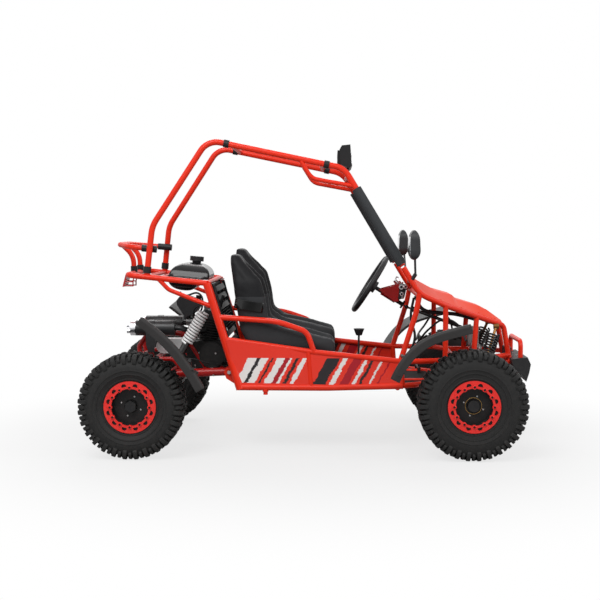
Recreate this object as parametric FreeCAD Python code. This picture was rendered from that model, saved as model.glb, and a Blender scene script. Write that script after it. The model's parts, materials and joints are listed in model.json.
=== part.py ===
# Off-road youth dune buggy with two seats: tubular frame, bolted roll cage, engine cradle behind the seats.
# Millimetres. +X is forward, +Y is left, +Z is up. The origin is on the ground below the middle of the box.
# Places behind the dash are given ahead of the rear axle by rear(), places from the dash on by front().

import FreeCAD, Part
import math
import os

V = FreeCAD.Vector
os.makedirs("parts", exist_ok=True)

# Stance
wheelbase = 1498.0
overall_width = 1180.0
bumper_overhang = 310.0

# Tyres and wheels
front_tyre_radius = 241.0
rear_tyre_radius = 233.0
front_tyre_width = 178.0
rear_tyre_width = 190.0
rim_radius = 101.5
flange_radius = 112.0
rim_width = 150.0
dish_depth = 34.0
ring_outer_radius = 114.5
ring_waist_radius = 81.5
ring_thickness = 8.0
ring_bolt_radius = 87.0
ring_boss_radius = 10.0
ring_window_flat = 91.5
ring_window_radius = 11.0
ring_repeats = 12
tread_depth = 14.0
lug_length = 24.0
lug_repeats = 30
hub_flange = 124.0
axle_diameter = 30.0
sprocket_radius = 84.0
drive_sprocket_radius = 30.0
brake_disc_radius = 86.0
running_clearance = 0.05

# Tubes
cage_tube = 28.0
pillar_tube = 38.0
rail_tube = 25.0
post_tube = 24.0
rocker_tube = 30.0
rack_tube = 26.0
hoop_tube = 24.0
light_tube = 20.0
sleeve_wall = 4.0

# Half widths of the frame
body_half = 336.0
rack_half = 291.0
roof_half = 260.0
nose_half = 100.0
shoulder_half = 305.0
keel_half = 178.0
arch_half = 204.0

# Heights of the frame's rails
rocker_z = 291.0

# Steering
wheel_rake = 32.0
column_y = 165.0
steering_wheel_radius = 160.0
steering_rim_radius = 13.0
column_diameter = 20.0
lower_shaft_diameter = 16.0
rack_ahead = 70.0
rack_z = 452.0
rack_diameter = 24.0
kingpin_y = 378.0
kingpin_diameter = 36.0
ball_gap = 8.0
joint_gap = 0.3
knuckle_room = 5.0

# Chain and sprockets
chain_y = 104.0
chain_width = 12.0
chain_height = 11.0
chain_pitch = 12.7
link_waist = 2.2
tooth_height = 5.5

box_middle = (wheelbase + bumper_overhang - rear_tyre_radius) / 2


def rear(ahead, y, z):
    """A point from its distance ahead of the rear axle, its place to the left and its height."""
    return V(ahead - box_middle, y, z)


def front(ahead, y, z):
    """A point from its distance ahead of the front axle, its place to the left and its height."""
    return V(wheelbase + ahead - box_middle, y, z)


def on_line(a, b, share):
    """The point that lies that share of the way from a to b."""
    return a + (b - a) * share


def mirrored(shape):
    """The shape's mirror image on the other side of the vehicle."""
    return shape.mirror(V(0, 0, 0), V(0, 1, 0)).Solids[0]


def pair(shape):
    """The shape and its mirror image."""
    return [shape, mirrored(shape)]


def joined(shapes):
    """One solid made of shapes that run into each other."""
    whole = shapes[0].fuse(shapes[1:]) if len(shapes) > 1 else shapes[0]
    solids = whole.Solids
    assert len(solids) == 1, f"{len(solids)} solids where one was expected"
    return solids[0]


def fitted(shape, *neighbours):
    """The largest solid left of a shape once its neighbours are cut out of it, as a tube's end is coped."""
    cutters = [solid for n in neighbours for solid in n.Solids]
    left = shape.cut(cutters) if cutters else shape
    return max(left.Solids, key=lambda solid: solid.Volume)


def coped(tubes, *neighbours):
    """A weldment as its tubes: each is coped against the neighbours and the tubes before it, and loses its stubs."""
    kept = []
    for tube in tubes:
        cutters = [solid for n in neighbours for solid in n.Solids] + kept
        close = [c for c in cutters if c.BoundBox.intersect(tube.BoundBox)]
        left = tube.cut(close) if close else tube
        whole = sum(solid.Volume for solid in left.Solids)
        kept += [solid for solid in left.Solids if solid.Volume > 0.06 * whole]
    return Part.makeCompound(kept)


def rod(a, b, diameter):
    """A round bar from a to b."""
    return Part.makeCylinder(diameter / 2, (b - a).Length, a, b - a)


def block(low, high):
    """A box between two corners."""
    return Part.makeBox(high.x - low.x, high.y - low.y, high.z - low.z, low)


def centreline(points, radii):
    """A wire of straight runs joined by tangent arcs, one radius for each inner point."""
    edges = []
    start = points[0]
    for before, corner, after, radius in zip(points, points[1:], points[2:], radii):
        back = (before - corner).normalize()
        on = (after - corner).normalize()
        turn = math.pi - back.getAngle(on)
        reach = radius * math.tan(turn / 2)
        first = corner + back * reach
        last = corner + on * reach
        middle = corner + (back + on).normalize() * (radius / math.cos(turn / 2) - radius)
        edges.append(Part.LineSegment(start, first).toShape())
        edges.append(Part.Arc(first, middle, last).toShape())
        start = last
    edges.append(Part.LineSegment(start, points[-1]).toShape())
    return Part.Wire(edges)


def bent(points, diameter, radii):
    """A round tube bent through the points."""
    path = centreline(points, radii)
    circle = Part.Wire(Part.makeCircle(diameter / 2, points[0], points[1] - points[0]))
    return path.makePipeShell([circle], True, False).Solids[0]


def plate(points, direction, thickness):
    """A flat plate: a closed outline, pushed along direction by its thickness."""
    face = Part.Face(Part.makePolygon(points + [points[0]]))
    return face.extrude(V(direction).normalize() * thickness)


def sleeve(a, b, outer, inner):
    """A tube round a bar that runs from a to b."""
    return rod(a, b, outer).cut(rod(a, b, inner))


def turned(profile, centre, axis=V(0, 1, 0)):
    """A solid of revolution about a line through centre; the profile is a list of (along the axis, radius)."""
    side = V(1, 0, 0) if abs(axis.x) < 0.5 else V(0, 0, 1)
    side = (side - axis * side.dot(axis)).normalize()
    points = [centre + axis * along + side * radius for along, radius in profile]
    face = Part.Face(Part.makePolygon(points + [points[0]]))
    return face.revolve(centre, axis, 360)


def repeated(shape, centre, count, phase=0.0):
    """Copies of a shape at even steps round a sideways axis; phase is in steps."""
    copies = []
    for n in range(count):
        copy = shape.copy()
        copy.rotate(centre, V(0, 1, 0), (n + phase) * 360 / count)
        copies.append(copy)
    return copies


def toothed(centre, tip_radius, depth, thickness, count):
    """A sprocket: a disc with flat-sided teeth round its rim."""
    points = []
    for n in range(count):
        for share, radius in ((0.0, tip_radius), (0.3, tip_radius), (0.5, tip_radius - depth), (0.8, tip_radius - depth)):
            angle = math.tau * (n + share) / count
            points.append(centre + V(radius * math.sin(angle), -thickness / 2, radius * math.cos(angle)))
    return plate(points, V(0, 1, 0), thickness)


def save(node, *shapes):
    """Writes the solids of one node."""
    solids = [solid for shape in shapes for solid in shape.Solids]
    for solid in solids:
        assert solid.isValid() and solid.Volume > 0, f"{node} has a bad solid"
    whole = Part.makeCompound(solids)
    whole.exportStep(f"parts/{node}.step")
    return whole


# Side frames: pillar, sill, door rails and the post under the dash

pillar_top = (309.0, 762.0)
pillar_foot = (462.0, rocker_z)
hip_rail_z = 608.0
sill_z = 507.0
divider_x = 780.0
post_foot = front(-306, body_half, 411)
post_top = front(-221, body_half, 716)
cowl_top = front(-293, 318, 836)
shoulder = front(-100, shoulder_half, 661)


def pillar_at(z):
    """The centre pillar's place at a height: it leans forward and outward on its way down."""
    share = (pillar_top[1] - z) / (pillar_top[1] - pillar_foot[1])
    x = pillar_top[0] + (pillar_foot[0] - pillar_top[0]) * share
    return rear(x, rack_half + (body_half - rack_half) * share, z)


def side_frame():
    """One side of the cockpit, left-hand."""
    pillar = rod(pillar_at(pillar_top[1]), pillar_at(rocker_z - 10), pillar_tube)
    rocker = bent([rear(pillar_foot[0] - 14, body_half, rocker_z), rear(860, body_half, rocker_z - 1),
                   front(-294, body_half, rocker_z + 9)], rocker_tube, [1500])
    hip = bent([pillar_at(hip_rail_z), rear(632, body_half, 592), rear(768, body_half, 545), rear(802, body_half, 448)],
               rail_tube, [300, 60])
    sill = bent([pillar_at(sill_z), rear(800, body_half, 452), post_foot, front(-200, body_half - 8, 411), shoulder - V(0, 0, 249)],
                rail_tube, [900, 500, 120])
    divider = rod(rear(divider_x - 6, body_half, 456), rear(divider_x + 8, body_half, rocker_z), post_tube)
    post = bent([post_top, front(-236, body_half, 632), post_foot], rail_tube, [330])
    lower_post = rod(post_foot, front(-297, body_half, rocker_z + 9), rail_tube)
    return coped([rocker, pillar, sill, hip, divider, post, lower_post])


left_side = side_frame()
right_side = Part.makeCompound([mirrored(s) for s in left_side.Solids])
sides = save("side_frames", left_side, right_side)

# Front frame: bonnet tubes, nose, posts, keel rails that carry the lower arms, and the rails for the upper arms

nose_top = front(192, nose_half, 556)
nose_foot = front(222, nose_half, 392)
keel = [front(-498, keel_half, 300), front(-153, keel_half, 302), front(157, 140, 318), nose_foot]
upper_rail = [shoulder - V(0, 0, 249), front(-45, 214, 412), front(95, 200, 414), front(220, nose_half, 416)]


def front_tubes():
    """The tubes of the left half of the front frame."""
    cowl = bent([cowl_top, post_top, shoulder, nose_top, nose_foot], rail_tube, [110, 200, 30])
    keel_rail = bent(keel, rail_tube, [400, 60])
    fork = bent([front(-294, body_half, rocker_z + 9), front(-240, body_half - 24, rocker_z + 10),
                 front(-120, keel_half, rocker_z + 11)], rail_tube, [60])
    upper = bent(upper_rail, post_tube, [40, 60])
    rear_post = rod(shoulder, shoulder - V(0, 0, 249), post_tube)
    front_post = rod(front(54, 197, 606), front(40, 206, 413), post_tube)
    return [cowl, keel_rail, upper, fork, rear_post, front_post]


def crossbar(ahead, half, z, diameter):
    """A tube straight across the front frame."""
    return rod(front(ahead, -half, z), front(ahead, half, z), diameter)


front_halves = [s for tube in front_tubes() for s in pair(tube)]
front_bars = [
    crossbar(-224, body_half, 709, light_tube + 2),
    crossbar(186, nose_half, 556, light_tube),
    crossbar(222, nose_half, 392, rail_tube),
    crossbar(-98, keel_half, 303, light_tube),
    crossbar(98, 150, 315, light_tube),
    crossbar(-45, 214, 412, light_tube),
    crossbar(rack_ahead, 204, 414, light_tube),
]
front_frame = save("front_frame", coped(front_halves + front_bars, sides))

# Floor frame: cross tubes between the sills, seat rails and the ears that carry the engine cradle

pivot = (405.0, 346.0)
pivot_half = 205.0
pivot_bolt = 12.0
ear_inner_gap = 46.0
ear_thickness = 6.0
floor_bars = [470.0, 640.0, 820.0]
seat_rail_y = [-255.0, -75.0, 75.0, 255.0]
seat_rail_z = 352.0
seat_rail_x = (455.0, 900.0)
jack_x = 580.0
jack_peg = 20.0
jack_collar = 27.0
jack_drop = 34.0
jack_peg_length = 14.0


def jacking_peg():
    """The left peg under the sill, on its collar, that a jack's socket takes."""
    foot = rear(jack_x, body_half, rocker_z - jack_drop)
    return joined([rod(rear(jack_x, body_half, rocker_z), foot, jack_peg),
                   rod(rear(jack_x, body_half, rocker_z), foot + V(0, 0, jack_peg_length), jack_collar)])


def floor_tubes():
    """Cross tubes, their spine and the seat rails on their legs."""
    bars = [rod(rear(x, -body_half, rocker_z), rear(x, body_half, rocker_z), rail_tube) for x in floor_bars]
    bars += [rod(front(x, -body_half, rocker_z), front(x, body_half, rocker_z), rail_tube) for x in (-498, -318)]
    bars.append(rod(rear(floor_bars[0], 0, rocker_z), front(-318, 0, rocker_z), rail_tube))
    bars += pair(jacking_peg())
    rails = []
    legs = []
    for y in seat_rail_y:
        rails.append(rod(rear(seat_rail_x[0], y, seat_rail_z), rear(seat_rail_x[1], y, seat_rail_z), light_tube))
        for x in (floor_bars[0], floor_bars[2]):
            legs.append(rod(rear(x, y, rocker_z), rear(x, y, seat_rail_z), light_tube))
    return bars + rails + legs


def pivot_ears():
    """Two ears on each side of the rear cross tube, with the bolt that the cradle hangs on."""
    found = []
    for side in (-1, 1):
        for edge in (-1, 1):
            y = side * pivot_half + edge * (ear_inner_gap + ear_thickness) / 2 - ear_thickness / 2
            outline = [(480, 278), (480, 306), (416, 368), (390, 366), (380, 346), (392, 316), (440, 286)]
            found.append(plate([rear(x, y, z) for x, z in outline], V(0, 1, 0), ear_thickness))
    return found


def pivot_pins():
    """The pivot bolts, one through each pair of ears."""
    reach = ear_inner_gap / 2 + ear_thickness + 7
    return [rod(rear(pivot[0], side * pivot_half - reach, pivot[1]), rear(pivot[0], side * pivot_half + reach, pivot[1]),
                pivot_bolt) for side in (-1, 1)]


floor_frame = save("floor_frame", coped(floor_tubes() + pivot_pins() + pivot_ears(), sides, front_frame))

# Floor pan and door panels

pan_thickness = 2.0
pan_z = rocker_z + rail_tube / 2
panel_thickness = 3.0
panel_y = body_half + 4.0


def floor_pan():
    """The sheet that lies on the cross tubes, cut round the seat legs."""
    outline = [rear(452, -322, pan_z), front(-290, -322, pan_z), front(-210, -280, pan_z), front(-150, -180, pan_z),
               front(-150, 180, pan_z), front(-210, 280, pan_z), front(-290, 322, pan_z), rear(452, 322, pan_z)]
    return fitted(plate(outline, V(0, 0, 1), pan_thickness), floor_frame, sides, front_frame)


def door_panels():
    """The rear and the front sheet on the left side, let in between the tubes."""
    rear_outline = [rear(400, panel_y, 508), rear(divider_x - 6, panel_y, 456), rear(divider_x + 8, panel_y, rocker_z),
                    rear(pillar_foot[0], panel_y, rocker_z)]
    front_outline = [rear(divider_x - 6, panel_y, 456), post_foot + V(0, 4, 0), front(-297, panel_y, rocker_z + 9),
                     rear(divider_x + 8, panel_y, rocker_z)]
    return [fitted(plate(outline, V(0, 1, 0), panel_thickness), left_side) for outline in (rear_outline, front_outline)]


pan = save("floor_pan", floor_pan())
save("door_panels", *[s for p in door_panels() for s in pair(p)])

# Luggage rack over the engine: base frame, hoop and stays

rack_end_x = -58.0
rack_end_z = 799.0
rack_slope = (rack_end_z - pillar_top[1]) / (pillar_top[0] - rack_end_x)
stay_y = 90.0


def rack_z_at(x):
    """Height of the rack base, which rises to the rear."""
    return pillar_top[1] + (pillar_top[0] - x) * rack_slope


def rack_tubes():
    """The U-shaped base, its cross tubes, the braces to the pillars and the tube that the dampers hang from."""
    corners = [(pillar_top[0], rack_half), (rack_end_x, rack_half), (rack_end_x, -rack_half), (pillar_top[0], -rack_half)]
    base = bent([rear(x, y, rack_z_at(x)) for x, y in corners], rack_tube, [45, 45])
    bars = [rod(rear(x, -rack_half, rack_z_at(x)), rear(x, rack_half, rack_z_at(x)), light_tube) for x in (33.0, 92.0)]
    bars.append(rod(rear(pillar_top[0] + 2, -rack_half, pillar_top[1]), rear(pillar_top[0] + 2, rack_half, pillar_top[1]), post_tube))
    brace = bent([rear(84, rack_half, rack_z_at(84)), rear(133, rack_half, 733), rear(246, rack_half + 3, 688),
                  pillar_at(652)], light_tube, [60, 90])
    hanger = rod(rear(316, -rack_half - 3, 662), rear(316, rack_half + 3, 662), rail_tube)
    return [base] + bars + pair(brace) + [hanger]


rack = save("rack_frame", coped(rack_tubes(), sides))

# Roll cage: rear legs, roof rails and windscreen pillars

roof_rear = (313.0, 1415.0)
rear_coupling = rear(398, roof_half, 1398)
front_coupling = front(-642, roof_half, 1303)
roof_front = front(-563, roof_half + 2, 1287)
leg_foot = rear(33, 286, 806)
leg_knee = rear(58, 276, 1023)
roof_line = (front_coupling - rear_coupling).normalize()


def cage_leg():
    """The left rear leg of the cage, from the rack to the roof."""
    return bent([leg_foot - V(0, 0, 8), leg_knee, rear(roof_rear[0], roof_half + 2, roof_rear[1]), rear_coupling],
                cage_tube, [150, 85])


legs = save("cage_uprights", *[s for leg in pair(cage_leg()) for s in coped([leg], rack).Solids])
hoop_front_x = 72.0
hoop_rear_x = -118.0
hoop_z = 936.0


def hoop_tubes():
    """The rail round the back of the rack, inside the cage legs, and its two curved stays."""
    half = 276 - cage_tube / 2 - hoop_tube / 2 - 0.5
    points = [rear(hoop_front_x, half, 916), rear(-52, half, 928), rear(hoop_rear_x, 130, hoop_z),
              rear(hoop_rear_x, -130, hoop_z), rear(-52, -half, 928), rear(hoop_front_x, -half, 916)]
    ring = bent(points, hoop_tube, [70, 70, 70, 70])
    stay = bent([rear(hoop_rear_x + 4, stay_y, hoop_z), rear(-62, stay_y, 884), rear(-58, stay_y, rack_z_at(-58))],
                hoop_tube, [90])
    return [ring] + pair(stay)


hoop = save("rack_hoop", coped(hoop_tubes(), rack, legs))


def roof_tubes():
    """The two roof rails and the bars between them."""
    rail = rod(rear_coupling, front_coupling, cage_tube)
    bars = []
    for share in (0.05, 0.95):
        middle = on_line(rear_coupling, front_coupling, share)
        bars.append(rod(middle - V(0, 2 * roof_half, 0), middle, light_tube + 2))
    return pair(rail) + bars


roof = save("roof_frame", coped(roof_tubes(), legs))


def screen_tubes():
    """The front hoop: two pillars bent over the roof's front edge, a cross tube and the slim braces."""
    foot = on_line(roof_front, cowl_top, 0.985)
    pillar = bent([front_coupling + roof_line * 0.4, roof_front, foot], cage_tube, [100])
    brace = bent([front(-759, roof_half + 4, 1318), front(-710, roof_half + 6, 1240), front(-518, roof_half + 11, 1204)],
                 light_tube, [60])
    bar = rod(front(-545, -roof_half - 4, 1256), front(-545, roof_half + 4, 1256), light_tube + 2)
    return pair(pillar) + pair(brace) + [bar]


screen = save("windscreen_frame", coped(screen_tubes(), roof, front_frame))
pad_diameter = 45.0


def pillar_pad():
    """The foam sleeve on the left windscreen pillar."""
    high = on_line(roof_front, cowl_top, 0.21)
    low = on_line(roof_front, cowl_top, 0.97)
    return fitted(sleeve(high, low, pad_diameter, cage_tube), screen)


save("pillar_pads", *pair(pillar_pad()))


def clamp_block():
    """The clamp that holds the left end of the rack hoop to the cage leg."""
    y = 276 - cage_tube / 2 - hoop_tube / 2 - 0.5
    return joined([rod(rear(6, y, 922), rear(74, y, 916), hoop_tube + 2 * sleeve_wall),
                   rod(rear(46, y, 918), rear(46, y + 24, 918), 22)])


def couplings():
    """Black sleeves over the cage's bolted joints, and sockets under the legs and stays, left side."""
    up = (leg_knee - leg_foot).normalize()
    cage_sleeve = cage_tube + 2 * sleeve_wall
    hoop_sleeve = hoop_tube + 2 * sleeve_wall
    found = [sleeve(p - roof_line * 12, p + roof_line * 12, cage_sleeve, cage_tube) for p in (rear_coupling, front_coupling)]
    found.append(sleeve(leg_foot + up * 2, leg_foot + up * 32, cage_sleeve, cage_tube))
    found.append(sleeve(rear(-58, stay_y, 806), rear(-59, stay_y, 834), hoop_sleeve, hoop_tube))
    return coped(found + [clamp_block()], rack, hoop, legs, roof, screen)


coupling_set = couplings()
save("couplings", *[s for c in coupling_set.Solids for s in pair(c)])

# Lamp bar on the front of the roof

lamp_half = 205.0


def light_bar():
    """A lamp bar with a flat face forward, a finned back and two feet on the cross tube."""
    outline = [(-578, 1306), (-583, 1375), (-572, 1394), (-533, 1398), (-526, 1300), (-538, 1290)]
    body = plate([front(x, -lamp_half, z) for x, z in outline], V(0, 1, 0), 2 * lamp_half)
    fins = [block(front(-592, y - 1.5, 1312), front(-570, y + 1.5, 1372)) for y in range(-190, 191, 20)]
    feet = [block(front(-549, y - 15, 1256), front(-541, y + 15, 1300)) for y in (-150.0, 150.0)]
    return fitted(joined([body] + feet + fins), screen)


save("light_bar", light_bar())

# Bonnet: a moulded shell with a raised crown that steps down half way along

bonnet_wall = 3.0
# each row: ahead of the front axle, half width of the edge, its height, half width of the crown, its height
bonnet_rows = [(-238, 300, 741, 165, 782), (-188, 302, 712, 158, 752), (-132, 290, 690, 140, 722),
               (-52, 243, 657, 112, 700), (-33, 234, 651, 108, 680), (82, 156, 609, 80, 646),
               (120, 130, 596, 68, 626), (186, 88, 573, 56, 578)]


def bonnet_skin(drop):
    """A solid under the bonnet's outside, moved in by drop."""
    wires = []
    for x, w, edge_z, crown, crown_z in bonnet_rows:
        points = [front(x, -w + drop, edge_z - 60), front(x, -w + drop, edge_z - drop), front(x, -crown, crown_z - drop),
                  front(x, crown, crown_z - drop), front(x, w - drop, edge_z - drop), front(x, w - drop, edge_z - 60)]
        wires.append(Part.makePolygon(points + [points[0]]))
    return Part.makeLoft(wires, True, True)


def bonnet():
    """The shell: outside less inside, trimmed along its lower edge."""
    trim = []
    for x, w, edge_z, crown, crown_z in bonnet_rows:
        corners = [front(x, -w - 40, edge_z - 90), front(x, w + 40, edge_z - 90), front(x, w + 40, edge_z - 12),
                   front(x, -w - 40, edge_z - 12)]
        trim.append(Part.makePolygon(corners + [corners[0]]))
    shell = bonnet_skin(0).cut([bonnet_skin(bonnet_wall), Part.makeLoft(trim, True, True)])
    return fitted(shell, front_frame, screen)


save("bonnet", bonnet())

# Front bumper and its guard hoop

hoop_half = 150.0


def bumper():
    """A moulded block across the nose, with a lip under it."""
    outline = [(219, 404), (295, 413), (bumper_overhang, 380), (303, 340), (290, 299), (272, 325), (228, 372)]
    body = plate([front(x, -180, z) for x, z in outline], V(0, 1, 0), 360)
    tab = block(front(211, -60, 396), front(238, 60, 446))
    return fitted(joined([body, tab]), front_frame)


front_bumper = save("front_bumper", bumper())
guard = bent([front(266, -hoop_half, 402), front(266, -hoop_half, 486), front(266, hoop_half, 486),
              front(266, hoop_half, 402)], 22, [30, 30])
save("guard_hoop", fitted(guard, front_bumper))

# Engine cradle: beams, truss and bearing carriers

beam_tube = 38.0
carrier_diameter = 66.0
axle_y_reach = 24.0
cradle_hoop_y = 80.0


def cradle_tubes():
    """The tubes of the rear subframe."""
    tubes = []
    eyes = []
    for side in (-1, 1):
        y = side * pivot_half
        pin_a = rear(pivot[0], y - 22, pivot[1])
        pin_b = rear(pivot[0], y + 22, pivot[1])
        eyes.append(sleeve(pin_a, pin_b, beam_tube + 4, pivot_bolt + 2 * running_clearance))
        carrier_a = rear(0, y - axle_y_reach, rear_tyre_radius)
        carrier_b = rear(0, y + axle_y_reach, rear_tyre_radius)
        eyes.append(sleeve(carrier_a, carrier_b, carrier_diameter, axle_diameter + 2 * running_clearance))
        y = side * arch_half
        tubes.append(bent([rear(pivot[0], y, pivot[1]), rear(150, y, 336), rear(0, y, rear_tyre_radius)], beam_tube, [120]))
        tubes.append(bent([rear(-30, y, 404), rear(140, y, 404), rear(196, y, 338)], light_tube, [40]))
        tubes.append(rod(rear(-30, y, 404), rear(-4, y, 262), post_tube))
        y = side * cradle_hoop_y
        tubes.append(bent([rear(284, y, 342), rear(172, y, 514), rear(0, y, 508), rear(-40, y, 448), rear(-30, y, 404)],
                          post_tube, [60, 50, 26]))
    bars = [rod(rear(x, -arch_half, z), rear(x, arch_half, z), rail_tube)
            for x, z in ((284.0, 342.0), (358.0, 344.0), (62.0, 404.0), (-30.0, 404.0))]
    pins = [rod(rear(164, side * 148, 414), rear(164, side * arch_half, 408), 12) for side in (-1, 1)]
    return eyes + tubes + bars + pins


cradle = save("rear_cradle", coped(cradle_tubes(), floor_frame))

# Engine: crankcase, finned barrel, carburettor, filter and exhaust


gear_cover_z = 452.0
gear_cover_height = 68.0


def engine_case():
    """Crankcase with its covers and output shaft, and the gear housing that reaches to the rear."""
    body = block(rear(190, -88, 348), rear(385, 72, 474))
    cover = rod(rear(312, -112, 412), rear(312, -80, 412), 122)
    clutch = rod(rear(300, 64, 412), rear(300, 92, 412), 118)
    shaft = rod(rear(225, 60, 404), rear(225, 116, 404), 20)
    gear_end = rod(rear(78, -92, gear_cover_z), rear(78, -14, gear_cover_z), gear_cover_height)
    gear_box = block(rear(78, -92, gear_cover_z - gear_cover_height / 2), rear(200, -14, gear_cover_z + gear_cover_height / 2))
    return joined([body, cover, clutch, shaft, gear_end, gear_box])


def engine_barrel():
    """The finned barrel and head, leaning forward."""
    foot = rear(290, -8, 466)
    up = V(0.16, 0, 1).normalize()
    pieces = [rod(foot, foot + up * 150, 78)]
    for n in range(8):
        fin = Part.makeBox(104, 104, 4, V(-52, -52, 0))
        fin.Placement = FreeCAD.Placement(foot + up * (14 + n * 12), FreeCAD.Rotation(V(0, 0, 1), up))
        pieces.append(fin)
    head = Part.makeBox(90, 96, 42, V(-45, -48, 0))
    head.Placement = FreeCAD.Placement(foot + up * 112, FreeCAD.Rotation(V(0, 0, 1), up))
    return joined(pieces + [head])


case = save("engine_case", coped([engine_case()], cradle))
barrel = save("engine_cylinder", fitted(engine_barrel(), case))
intake_z = 566.0


def carburettor():
    """Intake elbow, body, float bowl and top."""
    elbow = rod(rear(275, 0, intake_z + 4), rear(215, 0, intake_z), 30)
    body = rod(rear(236, 0, intake_z), rear(178, 0, intake_z), 44)
    bowl = rod(rear(206, 0, intake_z), rear(206, 0, intake_z - 42), 40)
    top = rod(rear(206, 0, intake_z), rear(206, 0, intake_z + 36), 28)
    return fitted(joined([elbow, body, bowl, top]), barrel, case)


carb = save("carburettor", carburettor())


def filter_box():
    """A drop-shaped filter housing above and behind the carburettor."""
    outline = [(178, 588), (140, 648), (138, 668), (152, 686), (178, 690), (252, 664), (254, 650), (232, 612), (214, 600)]
    body = plate([rear(x, -62, z) for x, z in outline], V(0, 1, 0), 120)
    neck = rod(rear(182, 0, intake_z + 4), rear(184, 0, 612), 38)
    lid = rod(rear(236, -10, 660), rear(240, -10, 690), 26)
    return fitted(joined([body, neck, lid]), carb)


save("air_filter", filter_box())
muffler_y = 148.0
muffler_z = 544.0
muffler_diameter = 72.0


def exhaust(side):
    """A silencer with its tail, its strap and the pipe from the head."""
    y = side * muffler_y
    can = rod(rear(-44, y, muffler_z), rear(143, y, muffler_z), muffler_diameter)
    tail = rod(rear(-66, y, muffler_z - 1), rear(-40, y, muffler_z - 1), muffler_diameter - 4)
    tips = [rod(rear(-84, y, z), rear(-60, y, z), 22) for z in (muffler_z - 14, muffler_z + 12)]
    pipe = bent([rear(138, y, muffler_z + 2), rear(178, y, muffler_z - 2), rear(214, side * 92, 522), rear(276, side * 56, 524)],
                26, [26, 26])
    strap = rod(rear(18, y, muffler_z), rear(46, y, muffler_z), muffler_diameter + 5)
    outline = [(10, 544), (52, 544), (54, 482), (49, 432), (22, 432), (10, 470)]
    low_y = side * muffler_y + (34 if side > 0 else -39)
    bracket = plate([rear(x, low_y, z) for x, z in outline], V(0, 1, 0), 5)
    return fitted(joined([can, tail, pipe, strap] + tips + [bracket]), cradle, case, barrel, carb)


save("exhaust", exhaust(1), exhaust(-1))

# Chain drive and rear brake

drive_centre = rear(225, chain_y, 404)
axle_centre = rear(0, chain_y, rear_tyre_radius)
teeth_gap = 1.0


def chain_loop():
    """The chain as one closed band of waisted links round both sprockets."""
    big = sprocket_radius + teeth_gap + chain_height / 2
    small = drive_sprocket_radius + teeth_gap + chain_height / 2
    line = drive_centre - axle_centre
    along = V(line).normalize()
    across = V(-along.z, 0, along.x)
    lean = math.acos((big - small) / line.Length)
    straight = line.Length * math.sin(lean)
    round_big = 2 * (math.pi - lean) * big
    round_small = 2 * lean * small
    total = 2 * straight + round_big + round_small
    links = round(total / chain_pitch)

    def spot(way, offset):
        """The point at a way along the chain's middle line, moved outward by the offset."""
        if way < straight:
            normal = along * math.cos(lean) + across * math.sin(lean)
            run = along * math.sin(lean) - across * math.cos(lean)
            return axle_centre + normal * (big + offset) + run * way
        way -= straight
        if way < round_small:
            angle = lean - way / small
            return drive_centre + (along * math.cos(angle) + across * math.sin(angle)) * (small + offset)
        way -= round_small
        if way < straight:
            normal = along * math.cos(lean) - across * math.sin(lean)
            run = along * math.sin(lean) + across * math.cos(lean)
            return axle_centre + normal * (big + offset) + run * (straight - way)
        way -= straight
        angle = -lean - way / big
        return axle_centre + (along * math.cos(angle) + across * math.sin(angle)) * (big + offset)

    bands = []
    for sign in (1, -1):
        points = []
        for n in range(2 * links):
            waist = link_waist if n % 2 else 0.0
            points.append(spot(total * n / (2 * links), sign * (chain_height / 2 - waist)) - V(0, chain_width / 2, 0))
        bands.append(plate(points, V(0, 1, 0), chain_width))
    return bands[0].cut(bands[1])


def drive_sprocket():
    """The small sprocket on the engine's output shaft."""
    count = round(math.tau * drive_sprocket_radius / chain_pitch)
    return toothed(drive_centre, drive_sprocket_radius, tooth_height, 8, count)


chain = fitted(chain_loop(), case)
save("chain", chain, fitted(drive_sprocket(), case))
disc_y = -120.0
disc_half = 2.0


def caliper():
    """The brake caliper over the disc's front edge, carried on the cradle's beam."""
    body = block(rear(56, disc_y - 22, 262), rear(112, disc_y + 18, 318))
    arm = rod(rear(84, disc_y - 20, 290), rear(84, -arch_half, 290), 24)
    slot = rod(rear(0, disc_y - disc_half - 2, rear_tyre_radius), rear(0, disc_y + disc_half + 2, rear_tyre_radius),
               2 * brake_disc_radius + 8)
    return fitted(joined([body, arm]), slot, cradle)


save("brake_caliper", caliper())

# Tank and firewall

tank_x = (106.0, 302.0)
tank_half = 130.0
tank_flange_z = 777.0


def pressing(side_line, end_line):
    """Half of the tank: what its outline from the side and its outline from the end have in common."""
    def swept(points, direction, length):
        curve = Part.BSplineCurve()
        curve.interpolate(points)
        base = Part.LineSegment(points[-1], points[0]).toShape()
        return Part.Face(Part.Wire([curve.toShape(), base])).extrude(direction * length)
    middle = (tank_x[0] + tank_x[1]) / 2
    from_side = swept([rear(x, -tank_half - 10, z) for x, z in side_line], V(0, 1, 0), 2 * tank_half + 20)
    from_end = swept([rear(tank_x[0] - 20, y, z) for y, z in end_line], V(1, 0, 0), tank_x[1] - tank_x[0] + 40)
    return from_side.common(from_end).Solids[0]


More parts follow.
